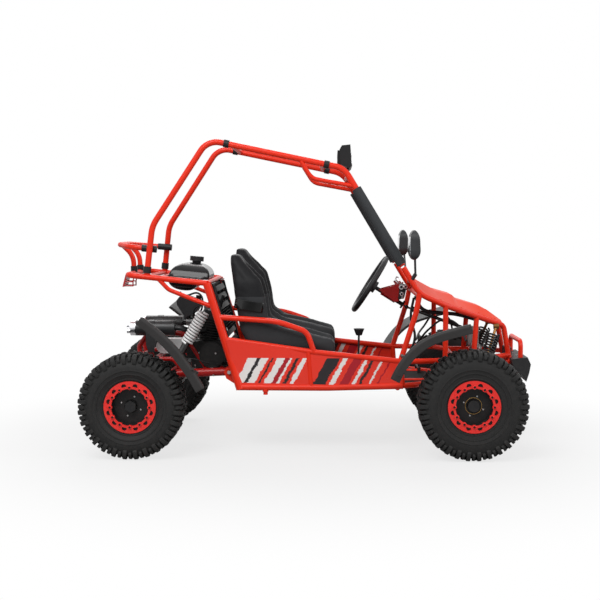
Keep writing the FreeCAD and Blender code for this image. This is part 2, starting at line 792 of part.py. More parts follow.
def fuel_tank():
    """Upper and lower pressing with a flange between them, tilted with the rack."""
    top_z = tank_flange_z + 4
    half = tank_half - 6
    top = pressing([(tank_x[0] + 2, top_z), (124, 818), (166, 843), (214, 850), (258, 845), (290, 824), (tank_x[1] - 2, top_z)],
                   [(-half, top_z), (-half + 16, 818), (-66, 844), (0, 852), (66, 844), (half - 16, 818), (half, top_z)])
    low_z = tank_flange_z
    low = pressing([(tank_x[0] + 4, low_z), (116, 738), (140, 720), (186, 713), (222, 722), (252, low_z)],
                   [(-half, low_z), (-half + 12, 738), (-70, 716), (0, 712), (70, 716), (half - 12, 738), (half, low_z)])
    flange = block(rear(tank_x[0] - 6, -tank_half, tank_flange_z), rear(tank_x[1] + 4, tank_half, tank_flange_z + 4))
    flange = flange.makeFillet(50, [e for e in flange.Edges if e.BoundBox.ZLength > 1])
    ears = [block(rear(x - 10, y - 12, tank_flange_z), rear(x + 10, y + 12, tank_flange_z + 4))
            for x in (102.0, 306.0) for y in (-90.0, 90.0)]
    tilt = math.degrees(math.atan(rack_slope))
    centre = rear((tank_x[0] + tank_x[1]) / 2, 0, tank_flange_z)
    shapes = [top, low, joined([flange] + ears)]
    for shape in shapes:
        shape.rotate(centre, V(0, 1, 0), tilt)
    return shapes


tank = save("fuel_tank", coped(fuel_tank(), rack))
neck = rod(rear(228, 0, 836), rear(230, 0, 864), 42)
knob = rod(rear(229.5, 0, 856), rear(231.5, 0, 878), 66)
save("fuel_cap", fitted(joined([neck, knob]), tank))
firewall_half = 235.0
slat_count = 9


def firewall():
    """The slatted screen between the seats and the engine, parallel to the centre pillars."""
    top = rear(pillar_top[0] + 24, 0, 752)
    foot = rear(pillar_foot[0] - 10, 0, rocker_z)
    lean = (foot - top).normalize()
    length = (foot - top).Length
    posts = [rod(top + V(0, y, 0), foot + V(0, y, 0), 18) for y in (-firewall_half, firewall_half)]
    slats = []
    for n in range(slat_count):
        middle = top + lean * (24 + n * (length * 0.82) / slat_count)
        slat = Part.makeBox(3, 2 * firewall_half, 26, V(-1.5, -firewall_half, -13))
        slat.Placement = FreeCAD.Placement(middle, FreeCAD.Rotation(V(0, 1, 0), -25))
        slats.append(slat)
    return coped(posts + slats, rack, floor_frame, sides, pan)


wall = save("firewall", firewall())

# Seats: moulded shell and upholstery as cross sections along the spine

seat_centres = [-158.0, 158.0]
driver_seat_lift = 22.0
shell_wall = 6.0
pad_thickness = 46.0
pad_roll = 22.0
# each row: ahead of the rear axle, height, lean of the section in degrees, half width, depth of the bolster
seat_rows = [(905, 432, 97, 134, 42), (780, 420, 92, 145, 88), (660, 416, 86, 148, 118), (575, 430, 70, 147, 128),
             (505, 472, 44, 146, 140), (462, 556, 18, 143, 112), (444, 660, 10, 142, 112), (430, 760, 8, 128, 100),
             (419, 826, 6, 100, 60), (412, 866, 5, 86, 30), (409, 896, 4, 70, 14)]


def seat_section(row, centre_y, lift):
    """Origin of a seat's cross section and the direction that points out of the seat."""
    x, z, lean, half, depth = row
    out = V(math.cos(math.radians(lean)), 0, math.sin(math.radians(lean)))
    return rear(x, centre_y, z + lift), out


def lofted(sections):
    """A ruled loft through closed outlines."""
    return Part.makeLoft([Part.makePolygon(points + [points[0]]) for points in sections], True, True)


def seat_shell(centre_y, lift):
    """The moulded bucket: a thin U swept from the cushion's front edge to the headrest."""
    sections = []
    for row in seat_rows:
        o, out = seat_section(row, centre_y, lift)
        half, depth = row[3], row[4]
        left, inner = V(0, half, 0), V(0, half - shell_wall, 0)
        sections.append([o - left + out * depth, o - left, o + left, o + left + out * depth, o + inner + out * depth,
                         o + inner + out * shell_wall, o - inner + out * shell_wall, o - inner + out * depth])
    return lofted(sections)


def seat_pad(centre_y, lift):
    """The upholstery that fills the bucket and stands above its rim."""
    sections = []
    for row in seat_rows:
        o, out = seat_section(row, centre_y, lift)
        half = row[3] - shell_wall - 0.4
        o = o + out * (shell_wall + 0.4)
        depth = row[4] + pad_roll
        left = V(0, half, 0)
        middle = min(pad_thickness, depth)
        sections.append([o - left + out * depth, o - left, o + left, o + left + out * depth, o + left * 0.74 + out * depth,
                         o + left * 0.5 + out * middle, o - left * 0.5 + out * middle, o - left * 0.74 + out * depth])
    return lofted(sections)


shells = []
pads = []
seat_feet = []
for centre_y in seat_centres:
    lift = driver_seat_lift if centre_y > 0 else 0.0
    shells.append(seat_shell(centre_y, lift))
    pads.append(seat_pad(centre_y, lift))
    for y in (centre_y - 90, centre_y + 90):
        for x in (floor_bars[1] - 40, floor_bars[2] - 10):
            seat_feet.append(block(rear(x - 20, y - 10, seat_rail_z), rear(x + 20, y + 10, 424 + lift)))
shell_set = save("seat_shells", coped(shells + seat_feet, floor_frame))
pad_set = save("seat_pads", coped(pads, shell_set))
belt_width = 42.0
belt_thickness = 4.0


def belt(centre_y, lift):
    """The webbing that passes round the back of a seat and forward along both sides."""
    half = 143.5
    low, high = 650 + lift, 650 + belt_width + lift
    back = block(rear(436, centre_y - half - belt_thickness, low), rear(436 + belt_thickness, centre_y + half + belt_thickness, high))
    runs = []
    for y in (centre_y - half - belt_thickness, centre_y + half):
        outline = [rear(436, y, low), rear(560, y, low - 22), rear(560, y, high - 22), rear(436, y, high)]
        runs.append(plate(outline, V(0, 1, 0), belt_thickness))
    return fitted(joined([back] + runs), shell_set, pad_set)


save("belts", belt(seat_centres[0], 0.0), belt(seat_centres[1], driver_seat_lift))

# Wheels and tyres


def tread_lug(centre, radius, width, side):
    """One block of the tread at the top of the tyre, from near its middle over the shoulder to the sidewall."""
    half = width / 2
    foot = radius - tread_depth - 6
    outline = [(8, foot), (10, radius), (half - 26, radius), (half - 5, radius - tread_depth), (half, radius - 34),
               (half - 14, radius - 58), (half - 30, foot)]
    return plate([centre + V(-lug_length / 2, side * y, z) for y, z in outline], V(1, 0, 0), lug_length)


def tyre(centre, radius, width):
    """A tyre about a sideways axis through centre: carcass and two staggered rows of lugs, as one solid."""
    half = width / 2
    bead = rim_width / 2
    crown = radius - tread_depth
    section = [(-bead + 3, rim_radius + 1), (-half + 10, crown - 66), (-half + 5, crown - 44), (-half + 6, crown - 24),
               (-half + 16, crown - 6), (-half + 34, crown), (half - 34, crown), (half - 16, crown - 6),
               (half - 6, crown - 24), (half - 5, crown - 44), (half - 10, crown - 66), (bead - 3, rim_radius + 1),
               (bead - 15, rim_radius + 1), (half - 24, crown - 50), (half - 32, crown - 18), (-half + 32, crown - 18),
               (-half + 24, crown - 50), (-bead + 15, rim_radius + 1)]
    lugs = repeated(tread_lug(centre, radius, width, 1), centre, lug_repeats)
    lugs += repeated(tread_lug(centre, radius, width, -1), centre, lug_repeats, 0.5)
    return joined([turned(section, centre)] + lugs)


def rim(centre, side):
    """A wheel: barrel, flanges and a dished centre. side is 1 on the left, where +Y is outward."""
    w = rim_width / 2
    section = [(-w, flange_radius), (-w + 4, flange_radius), (-w + 5, rim_radius + 0.6), (-w + 30, rim_radius - 2),
               (-w + 40, rim_radius - 14), (w - 40, rim_radius - 14), (w - 30, rim_radius - 2), (w - 5, rim_radius + 0.6),
               (w - 4, flange_radius - 2), (w, flange_radius - 2), (w, rim_radius - 12), (w - dish_depth, rim_radius - 22),
               (w - dish_depth, 30), (w - dish_depth - 6, 30), (w - dish_depth - 6, rim_radius - 18),
               (-w + 6, rim_radius - 18), (-w, rim_radius - 4)]
    return turned(section, centre, V(0, side, 0))


def bead_ring(centre, side):
    """The bolted ring on the wheel's outer face, with a boss for each bolt and a window between each two."""
    out = V(0, side, 0)
    face = centre + out * (rim_width / 2)
    back = face - out * ring_thickness
    deep = 3 * ring_thickness
    boss = Part.makeCylinder(ring_boss_radius, deep, back + V(0, 0, ring_bolt_radius), out)
    bore = Part.makeCylinder(ring_waist_radius, deep, back, out).cut(repeated(boss, centre, ring_repeats))
    window = Part.makeCylinder(ring_window_radius, deep, back + V(0, 0, ring_window_flat + 3), out)
    below = block(V(centre.x - 40, centre.y - 200, centre.z), V(centre.x + 40, centre.y + 200, centre.z + ring_window_flat))
    windows = repeated(window.cut(below), centre, ring_repeats, 0.5)
    return Part.makeCylinder(ring_outer_radius, ring_thickness, face, out).cut([bore] + windows).Solids[0]


def wheel_centre(is_front, side):
    """Centre of a tyre at rest."""
    if is_front:
        return front(0, side * (overall_width - front_tyre_width) / 2, front_tyre_radius)
    return rear(0, side * (overall_width - rear_tyre_width) / 2, rear_tyre_radius)


hub_back = rim_width / 2 - dish_depth - 6
rear_reach = (overall_width - rear_tyre_width) / 2


def on_axle(y):
    """A point on the rear axle."""
    return rear(0, y, rear_tyre_radius)


def rear_axle():
    """The live axle with hubs, sprocket and brake disc, as one solid."""
    pieces = [rod(on_axle(-rear_reach - 66), on_axle(rear_reach + 66), axle_diameter)]
    for side in (-1, 1):
        face = side * (rear_reach + hub_back)
        pieces.append(rod(on_axle(face - side * 60), on_axle(face), 62))
        pieces.append(rod(on_axle(face - side * 8), on_axle(face), hub_flange))
        pieces.append(rod(on_axle(side * (arch_half + axle_y_reach + 8)), on_axle(side * (arch_half + axle_y_reach + 24)), 48))
    pieces.append(toothed(on_axle(chain_y), sprocket_radius, tooth_height, 6, round(math.tau * sprocket_radius / chain_pitch)))
    pieces.append(rod(on_axle(chain_y - 26), on_axle(chain_y), 70))
    pieces.append(rod(on_axle(disc_y - disc_half), on_axle(disc_y + disc_half), 2 * brake_disc_radius))
    pieces.append(rod(on_axle(disc_y), on_axle(disc_y + 26), 70))
    return joined(pieces)


axle = save("rear_axle", rear_axle())
rear_rims = []
rear_rings = []
rear_tyres = []
for side in (1, -1):
    centre = wheel_centre(False, side)
    rear_rims.append(fitted(rim(centre, side), axle))
    rear_rings.append(bead_ring(centre, side))
    rear_tyres.append(fitted(tyre(centre, rear_tyre_radius, rear_tyre_width), rear_rims[-1], rear_rings[-1]))
save("rear_wheels", *rear_rims)
save("rear_rings", *rear_rings)
save("rear_tyres", *rear_tyres)
lower_ball_z = 168.0
upper_ball_z = 338.0
arm_end = (rack_ahead, 366.0, 379.0)


def knuckle():
    """The left upright with its spindle and steering arm."""
    z = front_tyre_radius
    post = rod(front(0, kingpin_y, lower_ball_z + 13), front(0, kingpin_y, upper_ball_z - 13), kingpin_diameter)
    spindle = rod(front(0, kingpin_y, z), front(0, 560, z), 25)
    boss = rod(front(0, kingpin_y, z), front(0, kingpin_y + 34, z), 56)
    arm = bent([front(6, kingpin_y, 262), front(48, 371, 346), front(arm_end[0], arm_end[1], arm_end[2])], 16, [14])
    eye = rod(front(arm_end[0], arm_end[1], arm_end[2] - 10), front(arm_end[0], arm_end[1], arm_end[2] + 10), 24)
    return joined([post, spindle, boss, arm, eye])


def front_hub(side):
    """The turning hub that the front wheel is bolted to."""
    out = V(0, side, 0)
    face = wheel_centre(True, side) + out * hub_back
    hub = joined([rod(face - out * 50, face, 58), rod(face - out * 8, face, hub_flange)])
    return fitted(hub, rod(face - out * 80, face + out * 60, 25 + 2 * running_clearance))


left_knuckle = knuckle()
save("left_knuckle", left_knuckle)
save("right_knuckle", mirrored(left_knuckle))
for side, name in ((1, "left"), (-1, "right")):
    centre = wheel_centre(True, side)
    wheel = joined([rim(centre, side), front_hub(side)])
    ring = bead_ring(centre, side)
    save(f"{name}_front_wheel", wheel)
    save(f"{name}_front_ring", ring)
    save(f"{name}_front_tyre", fitted(tyre(centre, front_tyre_radius, front_tyre_width), wheel, ring))

# Front suspension: wishbones, dampers and springs


def wishbone(feet, tip, drop):
    """A welded A of two tubes with a bush at each foot and a ball joint housing at its tip."""
    bushes = [rod(foot - V(16, 0, 0), foot + V(16, 0, 0), 26) for foot in feet]
    tubes = [rod(foot, tip + V(0, 0, drop), light_tube) for foot in feet]
    housing = rod(tip - V(0, 0, 12), tip + V(0, 0, 12), 36)
    room = rod(front(0, kingpin_y, lower_ball_z + 12.5), front(0, kingpin_y, upper_ball_z - 12.5),
               kingpin_diameter + 2 * knuckle_room)
    return coped([housing] + bushes + tubes, front_frame, room)


lower_arm = wishbone([front(80, 160, 291), front(-80, 172, 283)], front(0, kingpin_y, lower_ball_z), -5)
upper_arm = wishbone([front(44, 211, 401), front(-30, 221, 396)], front(0, kingpin_y, upper_ball_z), 5)
left_arms = Part.makeCompound(lower_arm.Solids + upper_arm.Solids)
save("front_arms", *[s for solid in left_arms.Solids for s in pair(solid)])


def damper(low, high, body, rod_size, eye):
    """Damper body, rod and the two end eyes."""
    along = (high - low).normalize()
    length = (high - low).Length
    sideways = V(1, 0, 0) if abs(along.y) > abs(along.x) else V(0, 1, 0)
    eyes = [rod(end - sideways * 12, end + sideways * 12, eye) for end in (low, high)]
    return joined([rod(low, low + along * length * 0.55, body), rod(low, high, rod_size)] + eyes)


def spring(low, high, start, stop, outer, inner, turns):
    """A coil spring as a stack of rounded rings on the damper's line."""
    along = (high - low).normalize()
    length = (high - low).Length
    first, last = length * start, length * stop
    pitch = (last - first) / turns
    profile = [(first, inner)]
    for n in range(turns):
        base = first + n * pitch
        profile += [(base, outer - 5), (base + 0.25 * pitch, outer), (base + 0.55 * pitch, outer), (base + 0.8 * pitch, outer - 5)]
    profile += [(last, outer - 5), (last, inner)]
    return turned(profile, low, along)


rear_low, rear_high = rear(164, 165, 414), rear(296, 165, 646)
front_low, front_high = front(34, 300, 230), front(152, 143, 555)
rear_damper = fitted(damper(rear_low, rear_high, 34, 14, 28), cradle, rack)
front_damper = fitted(damper(front_low, front_high, 30, 13, 26), front_frame, left_arms)
save("dampers", *pair(rear_damper), *pair(front_damper))
rear_spring = fitted(spring(rear_low, rear_high, 0.2, 0.91, 26, 17.5, 11), rear_damper, rack)
front_spring = fitted(spring(front_low, front_high, 0.26, 0.9, 25, 15.5, 11), front_damper, front_frame)
save("rear_springs", *pair(rear_spring))
save("front_springs", *pair(front_spring))

# Steering: wheel and column, shaft, rack and tie rods, with the dash that carries the column

wheel_hub = front(-428, column_y, 737)
down = V(math.cos(math.radians(wheel_rake)), 0, -math.sin(math.radians(wheel_rake)))
joint_point = wheel_hub + down * 214
pinion_point = front(52, 40, 520)
shaft_line = (pinion_point - joint_point).normalize()
yoke_half = 16.0


def steering_wheel():
    """Steering wheel, its hub and the column down to the fork of the universal joint."""
    across = V(-down.z, 0, down.x)
    middle = steering_wheel_radius - steering_rim_radius
    ring = Part.makeTorus(middle, steering_rim_radius, wheel_hub, down)
    hub = joined([rod(wheel_hub - down * 6, wheel_hub + down * 34, 60), rod(wheel_hub, joint_point - down * 22, column_diameter),
                  rod(joint_point - down * 28, joint_point - down * 20, 2 * yoke_half + 10)])
    pieces = [ring, hub]
    for angle in (90, 210, 330):
        spoke = across * math.sin(math.radians(angle)) + V(0, 1, 0) * math.cos(math.radians(angle))
        pieces.append(rod(wheel_hub + spoke * 20, wheel_hub + spoke * middle, 14))
    for sign in (-1, 1):
        low = joint_point + V(0, sign * (yoke_half + 2.5), 0)
        pieces.append(rod(low - down * 24, low + down * 6, 5))
    return coped(pieces)


column = save("steering_wheel", steering_wheel())


def lower_shaft():
    """The shaft from the universal joint to the steering box."""
    ball = turned([(-9, 0), (-8, 6), (-4, 9.5), (4, 9.5), (8, 6), (9, 0)], joint_point, shaft_line)
    neck = rod(joint_point, joint_point + shaft_line * 34, 10)
    collar = rod(joint_point + shaft_line * 30, joint_point + shaft_line * 52, 28)
    shaft = rod(joint_point + shaft_line * 34, pinion_point, lower_shaft_diameter)
    return joined([ball, neck, collar, shaft])


shaft = save("steering_shaft", lower_shaft())


def dash():
    """The folded bracket under the dash bar with the column's bush, a stay and the switch panel."""
    bush_high = wheel_hub + down * 70
    bush_low = wheel_hub + down * 150
    bore = rod(bush_high - down * 40, bush_low + down * 40, column_diameter + 2 * running_clearance)
    tube = rod(bush_high, bush_low, column_diameter + 12)
    cheeks = []
    for y in (column_y - 42, column_y + 39):
        outline = [front(-386, y, 712), front(-310, y, 652), front(-290, y, 654), front(-258, y, 706), front(-226, y, 722),
                   front(-290, y, 738)]
        cheeks.append(plate(outline, V(0, 1, 0), 3))
    web = plate([front(-330, column_y - 42, 724), front(-330, column_y + 42, 724), front(-228, column_y + 42, 720),
                 front(-228, column_y - 42, 720)], V(0, 0, 1), 3)
    ties = [rod(p + V(0, -42, 0), p + V(0, 42, 0), 12) for p in (wheel_hub + down * 90, wheel_hub + down * 140)]
    whole = joined([tube, web] + ties + cheeks)
    return fitted(whole.cut(bore), front_frame)


dash_bracket = save("dash", dash())


def rack_housing():
    """The rack's tube, the steering box on it and two feet on the cross tube."""
    tube = rod(front(rack_ahead, -118, rack_z), front(rack_ahead, 118, rack_z), 38)
    box = block(front(rack_ahead - 26, 14, rack_z), front(rack_ahead + 22, 66, 540))
    feet = [block(front(rack_ahead - 12, y - 10, 414), front(rack_ahead + 12, y + 10, rack_z)) for y in (-80.0, 80.0)]
    pocket = rod(pinion_point - shaft_line * 40, pinion_point + shaft_line * 1, lower_shaft_diameter + 2 * running_clearance)
    bore = rod(front(rack_ahead, -200, rack_z), front(rack_ahead, 200, rack_z), rack_diameter + 2 * running_clearance)
    return fitted(joined([tube, box] + feet), bore, pocket, front_frame)


save("rack_housing", rack_housing())
rack_reach = 168.0
save("rack_bar", rod(front(rack_ahead, -rack_reach, rack_z), front(rack_ahead, rack_reach, rack_z), rack_diameter))
for side, name in ((1, "left"), (-1, "right")):
    inner = front(rack_ahead, side * (rack_reach + 10.5 + joint_gap), rack_z)
    outer = front(arm_end[0], side * arm_end[1], arm_end[2] + 10 + ball_gap + 9)
    ball = turned([(-10, 0), (-9, 6), (-4, 10.5), (4, 10.5), (9, 6), (10, 0)], inner, V(0, 0, 1))
    eye = rod(outer - V(0, 0, 9), outer + V(0, 0, 9), 22)
    save(f"{name}_tie_rod", joined([ball, rod(inner, outer, 12), eye]))

# Controls


def pedals():
    """Two pedals on a cross rod in front of the driver."""
    axis_a = front(-190, column_y - 85, 328)
    axis_b = front(-190, column_y + 85, 328)
    pieces = [rod(axis_a, axis_b, 12)]
    for y in (column_y - 55, column_y + 55):
        pieces.append(rod(front(-190, y, 328), front(-176, y, 430), 10))
        pad = block(front(-186, y - 24, 424), front(-178, y + 24, 486))
        pieces.append(pad)
    for y in (column_y - 85, column_y + 77):
        pieces.append(block(front(-198, y, pan_z + pan_thickness), front(-182, y + 8, 330)))
    return coped([joined(pieces)], pan, front_frame, floor_frame)


save("pedals", pedals())


def shifter():
    """The drive selector: a lever with a knob in a gate between the seats."""
    base = block(rear(965, -24, pan_z + pan_thickness), rear(1050, 24, 350))
    lever = rod(rear(1008, 0, 340), rear(1012, 0, 505), 10)
    knob = Part.makeCone(14, 26, 32, rear(1012, 0, 498), V(0, 0, 1))
    return joined([base, lever, knob])


save("shifter", coped([shifter()], pan, floor_frame, front_frame))

# Mudguards

guard_skin = 4.0


def mudguard(upper, lower, inner_y, outer_y):
    """A curved skin over the tyre with a lip down along both edges, between an upper and a lower line."""
    def band(y0, y1, low_line):
        curve = Part.BSplineCurve()
        curve.interpolate([V(p.x, y0, p.z) for p in upper])
        low = Part.BSplineCurve()
        low.interpolate([V(p.x, y0, p.z) for p in low_line])
        ends = [Part.makeLine(curve.StartPoint, low.StartPoint), Part.makeLine(curve.EndPoint, low.EndPoint)]
        edges = Part.__sortEdges__([curve.toShape(), low.toShape()] + ends)
        return Part.Face(Part.Wire(edges)).extrude(V(0, y1 - y0, 0))
    under = [p - V(0, 0, guard_skin + 1) for p in upper]
    return joined([band(inner_y, outer_y, under), band(outer_y - guard_skin, outer_y, lower),
                   band(inner_y, inner_y + guard_skin, lower)])


outer_edge = overall_width / 2
front_upper = [front(-373, 0, 368), front(-351, 0, 419), front(-301, 0, 492), front(-238, 0, 547), front(-162, 0, 578),
               front(-90, 0, 592), front(-22, 0, 601)]
front_lower = [front(-335, 0, 345), front(-302, 0, 398), front(-250, 0, 464), front(-187, 0, 514), front(-112, 0, 547),
               front(-24, 0, 573)]
rear_upper = [rear(337, 0, 325), rear(303, 0, 386), rear(260, 0, 456), rear(217, 0, 515), rear(159, 0, 572),
              rear(109, 0, 612), rear(62, 0, 640)]
rear_lower = [rear(304, 0, 309), rear(267, 0, 378), rear(231, 0, 436), rear(180, 0, 494), rear(116, 0, 547),
              rear(70, 0, 590), rear(48, 0, 622)]
front_guard = mudguard(front_upper, front_lower, 418, outer_edge)
rear_guard = mudguard(rear_upper, rear_lower, 405, outer_edge)
front_stays = [rod(front(-300, body_half, 437), front(-296, 470, 445), 16), rod(front(-100, 305, 540), front(-96, 500, 568), 16)]
rear_stays = [rod(rear(222, arch_half, 350), rear(246, 440, 432), 16), rod(rear(240, arch_half, 345), rear(283, 440, 372), 16)]
save("front_mudguards", *[s for solid in coped([front_guard] + front_stays, sides, front_frame).Solids for s in pair(solid)])
save("rear_mudguards", *[s for solid in coped([rear_guard] + rear_stays, sides, cradle).Solids for s in pair(solid)])

# Mirrors and tail lamp


mirror_inner_y = 335.0
mirror_width = 135.0
mirror_rounding = 45.0


def mirror():
    """The left mirror: head, stalk and clamp."""
    outline = [(-268, 884), (-254, 873), (-236, 886), (-229, 940), (-238, 990), (-253, 1005), (-268, 988), (-275, 936)]
    curve = Part.BSplineCurve()
    curve.interpolate([front(x, mirror_inner_y, z) for x, z in outline], True)
    head = Part.Face(Part.Wire(curve.toShape())).extrude(V(0, mirror_width, 0))
    face = block(front(-290, mirror_inner_y, 870), front(-220, mirror_inner_y + mirror_width, 1008))
    face = face.makeFillet(mirror_rounding, [e for e in face.Edges if e.BoundBox.XLength > 1])
    head = head.common(face).Solids[0]
    stalk = rod(front(-246, 378, 880), front(-241, 345, 800), 10)
    foot = rod(front(-241, 345, 806), front(-258, 326, 776), 18)
    return fitted(joined([head, stalk, foot]), front_frame, screen)


save("mirrors", *pair(mirror()))
lamp_top = rack_z_at(rack_end_x) - rack_tube / 2
lamp_half = 55.0
lamp_wire = 6.0


def turned_ball(centre):
    """The rounded corner where two wires of the lamp frame meet."""
    return rod(centre - V(0, lamp_wire / 2, 0), centre + V(0, lamp_wire / 2, 0), lamp_wire)



def tail_lamp():
    """The lamp under the rear of the rack: a thin lens on an open wire frame that hangs from the rack."""
    outline = [(-107, 791), (-99, 791), (-114, 733), (-122, 733)]
    lens = plate([rear(x, -lamp_half, z) for x, z in outline], V(0, 1, 0), 2 * lamp_half)
    strap = block(rear(-104, -18, lamp_top - 3), rear(-48, 18, lamp_top + 3))
    wires = []
    for y in (-lamp_half + 12, lamp_half - 12):
        corners = [rear(-116, y, 737), rear(-73, y, 737), rear(-73, y, 757), rear(-112, y, 757)]
        wires += [rod(a, b, lamp_wire) for a, b in zip(corners, corners[1:])]
        wires += [turned_ball(corner) for corner in corners[1:3]]
        wires.append(rod(corners[2], rear(-66, y, lamp_top + 2), lamp_wire))
    return fitted(joined([lens, strap] + wires), rack)


save("tail_lamp", tail_lamp())
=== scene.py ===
# %% [markdown]
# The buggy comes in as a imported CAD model, and every piece of it stays where it is. What this lesson adds is
# the look: paint, rubber, vinyl and chrome, tyres with real tread, coil springs, upholstery, bolts and a
# studio. A model could also be rebuilt from nothing in Blender, but then it would drift away from the sizes
# that the joints and the physics use, so the CAD stays as the frame and each new piece is set against it.

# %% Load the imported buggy
import json
import math

import bpy
from mathutils import Matrix, Vector


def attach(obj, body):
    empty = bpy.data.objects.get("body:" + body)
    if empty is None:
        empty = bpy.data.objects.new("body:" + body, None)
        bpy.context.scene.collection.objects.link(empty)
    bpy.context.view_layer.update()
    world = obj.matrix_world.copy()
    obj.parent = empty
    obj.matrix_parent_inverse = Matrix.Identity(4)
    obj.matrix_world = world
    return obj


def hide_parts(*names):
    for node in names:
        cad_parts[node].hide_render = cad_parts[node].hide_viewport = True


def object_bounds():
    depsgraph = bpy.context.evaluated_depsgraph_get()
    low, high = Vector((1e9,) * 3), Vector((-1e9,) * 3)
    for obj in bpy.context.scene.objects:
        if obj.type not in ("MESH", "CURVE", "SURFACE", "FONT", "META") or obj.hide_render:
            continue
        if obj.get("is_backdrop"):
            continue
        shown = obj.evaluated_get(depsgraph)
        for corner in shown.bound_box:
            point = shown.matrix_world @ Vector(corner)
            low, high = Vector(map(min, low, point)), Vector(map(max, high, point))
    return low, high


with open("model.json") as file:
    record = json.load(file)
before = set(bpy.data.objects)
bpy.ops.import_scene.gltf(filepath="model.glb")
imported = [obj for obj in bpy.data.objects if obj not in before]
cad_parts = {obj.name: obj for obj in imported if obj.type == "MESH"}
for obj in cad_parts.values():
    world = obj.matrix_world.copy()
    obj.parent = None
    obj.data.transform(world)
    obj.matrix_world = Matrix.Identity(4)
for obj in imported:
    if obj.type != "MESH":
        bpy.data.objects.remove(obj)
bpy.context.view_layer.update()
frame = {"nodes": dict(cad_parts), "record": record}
scene = bpy.context.scene
print("pieces from the CAD:", len(frame["nodes"]))

# %% [markdown]
# Sizes are easiest to read in millimetres from the rear axle, forward and up, because that is how a frame
# builder measures. Blender works in metres from the middle of the buggy, so one helper turns the first into
# the second. The wheelbase and the tyre sizes are the same as in the CAD source.

# %% Sizes that several pieces share
rear_axle_x = -0.7875
wheelbase = 1.498
front_tyre_radius = 0.241
rear_tyre_radius = 0.233
front_tyre_width = 0.178
rear_tyre_width = 0.190
half_width = 0.590


def at(ahead, side, height):
    """A point from millimetres ahead of the rear axle, to the left and above the ground."""
    return Vector((ahead / 1000 + rear_axle_x, side / 1000, height / 1000))


wheel_centres = {}
for side_name, side in (("left", 1), ("right", -1)):
    front_y = side * (half_width - front_tyre_width / 2)
    rear_y = side * (half_width - rear_tyre_width / 2)
    wheel_centres["front", side_name] = Vector((rear_axle_x + wheelbase, front_y, front_tyre_radius))
    wheel_centres["rear", side_name] = Vector((rear_axle_x, rear_y, rear_tyre_radius))
print("front wheel centre:", tuple(round(c, 4) for c in wheel_centres["front", "left"]))

# %% [markdown]
# The photograph was taken from the buggy's right side, about five and a half metres away and a little above
# the seats. Its lens and place were worked out from the wheels, whose sizes are known, so the camera here
# only has to repeat them: a lens of 69 mm on a 36 mm sensor, turned slightly to the rear and slightly down.

# %% Camera at the photograph's place
camera_place = (0.0910, -5.523, 1.0153)
camera_aim = Vector((-0.02726, 0.99766, -0.06279))
lens_length = 68.89
sensor_width = 36
bpy.ops.object.camera_add(location=camera_place)
camera = bpy.context.object
camera.name = "photo_camera"
camera.data.lens = lens_length
camera.data.sensor_width = sensor_width
camera.rotation_euler = camera_aim.to_track_quat("-Z", "Y").to_euler()
scene.camera = camera
scene.view_settings.view_transform = "Standard"

# %% [markdown]
# A product studio is a pale room with large soft lamps. Small bright lamps would give hard highlights on the
# round tubes, so three large area lamps are used: one above and in front on the camera's side, one from the
# front of the buggy and one high behind it, which draws a light edge along the tubes.

# %% Floor and lamps
bpy.ops.mesh.primitive_plane_add(size=60, location=(0, 0, -0.0005))
floor = bpy.context.object
floor.name = "floor"
floor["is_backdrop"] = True


def area_lamp(name, place, aim, size, power):
    """A square soft lamp that points at a place."""
    bpy.ops.object.light_add(type="AREA", location=place)
    lamp = bpy.context.object
    lamp.name = name
    lamp.data.size = size
    lamp.data.energy = power
    lamp.rotation_euler = (Vector(aim) - Vector(place)).to_track_quat("-Z", "Y").to_euler()


area_lamp("key_lamp", (-1.4, -3.6, 4.4), (0.0, 0.0, 0.5), size=3.0, power=208)
area_lamp("nose_lamp", (4.6, -1.8, 2.6), (0.0, 0.0, 0.6), size=2.4, power=80)
area_lamp("back_lamp", (-0.5, 3.8, 4.2), (0.0, 0.0, 0.6), size=3.0, power=110)

# %% [markdown]
# The room is full white wherever the camera sees it, straight, in a mirror or through glass. To everything
# else it gives a weaker, even light, so that the lamps shape the buggy and no pale surface burns out.

# %% White surroundings
plain_white = (1, 1, 1, 1)
room_light = 0.42
world = bpy.data.worlds.new("white_room")
scene.world = world
world.use_nodes = True
room = world.node_tree
soft = room.nodes["Background"]
soft.inputs["Color"].default_value = plain_white
soft.inputs["Strength"].default_value = room_light
white = room.nodes.new("ShaderNodeBackground")
white.inputs["Color"].default_value = plain_white
white.inputs["Strength"].default_value = 1.0
rays = room.nodes.new("ShaderNodeLightPath")
seen = room.nodes.new("ShaderNodeMath")
seen.operation = "MAXIMUM"
seen_or_through = room.nodes.new("ShaderNodeMath")
seen_or_through.operation = "MAXIMUM"
choose = room.nodes.new("ShaderNodeMixShader")
room.links.new(rays.outputs["Is Camera Ray"], seen.inputs[0])
room.links.new(rays.outputs["Is Glossy Ray"], seen.inputs[1])
room.links.new(seen.outputs[0], seen_or_through.inputs[0])
room.links.new(rays.outputs["Is Transmission Ray"], seen_or_through.inputs[1])
room.links.new(seen_or_through.outputs[0], choose.inputs["Fac"])
room.links.new(soft.outputs[0], choose.inputs[1])
room.links.new(white.outputs[0], choose.inputs[2])
room.links.new(choose.outputs[0], room.nodes["World Output"].inputs["Surface"])

# %% [markdown]
# The floor keeps the buggy's shadow close by and fades to the white of the room further away, so that no
# horizon line shows. Only what the camera sees is whitened; the light that the floor throws back is plain.

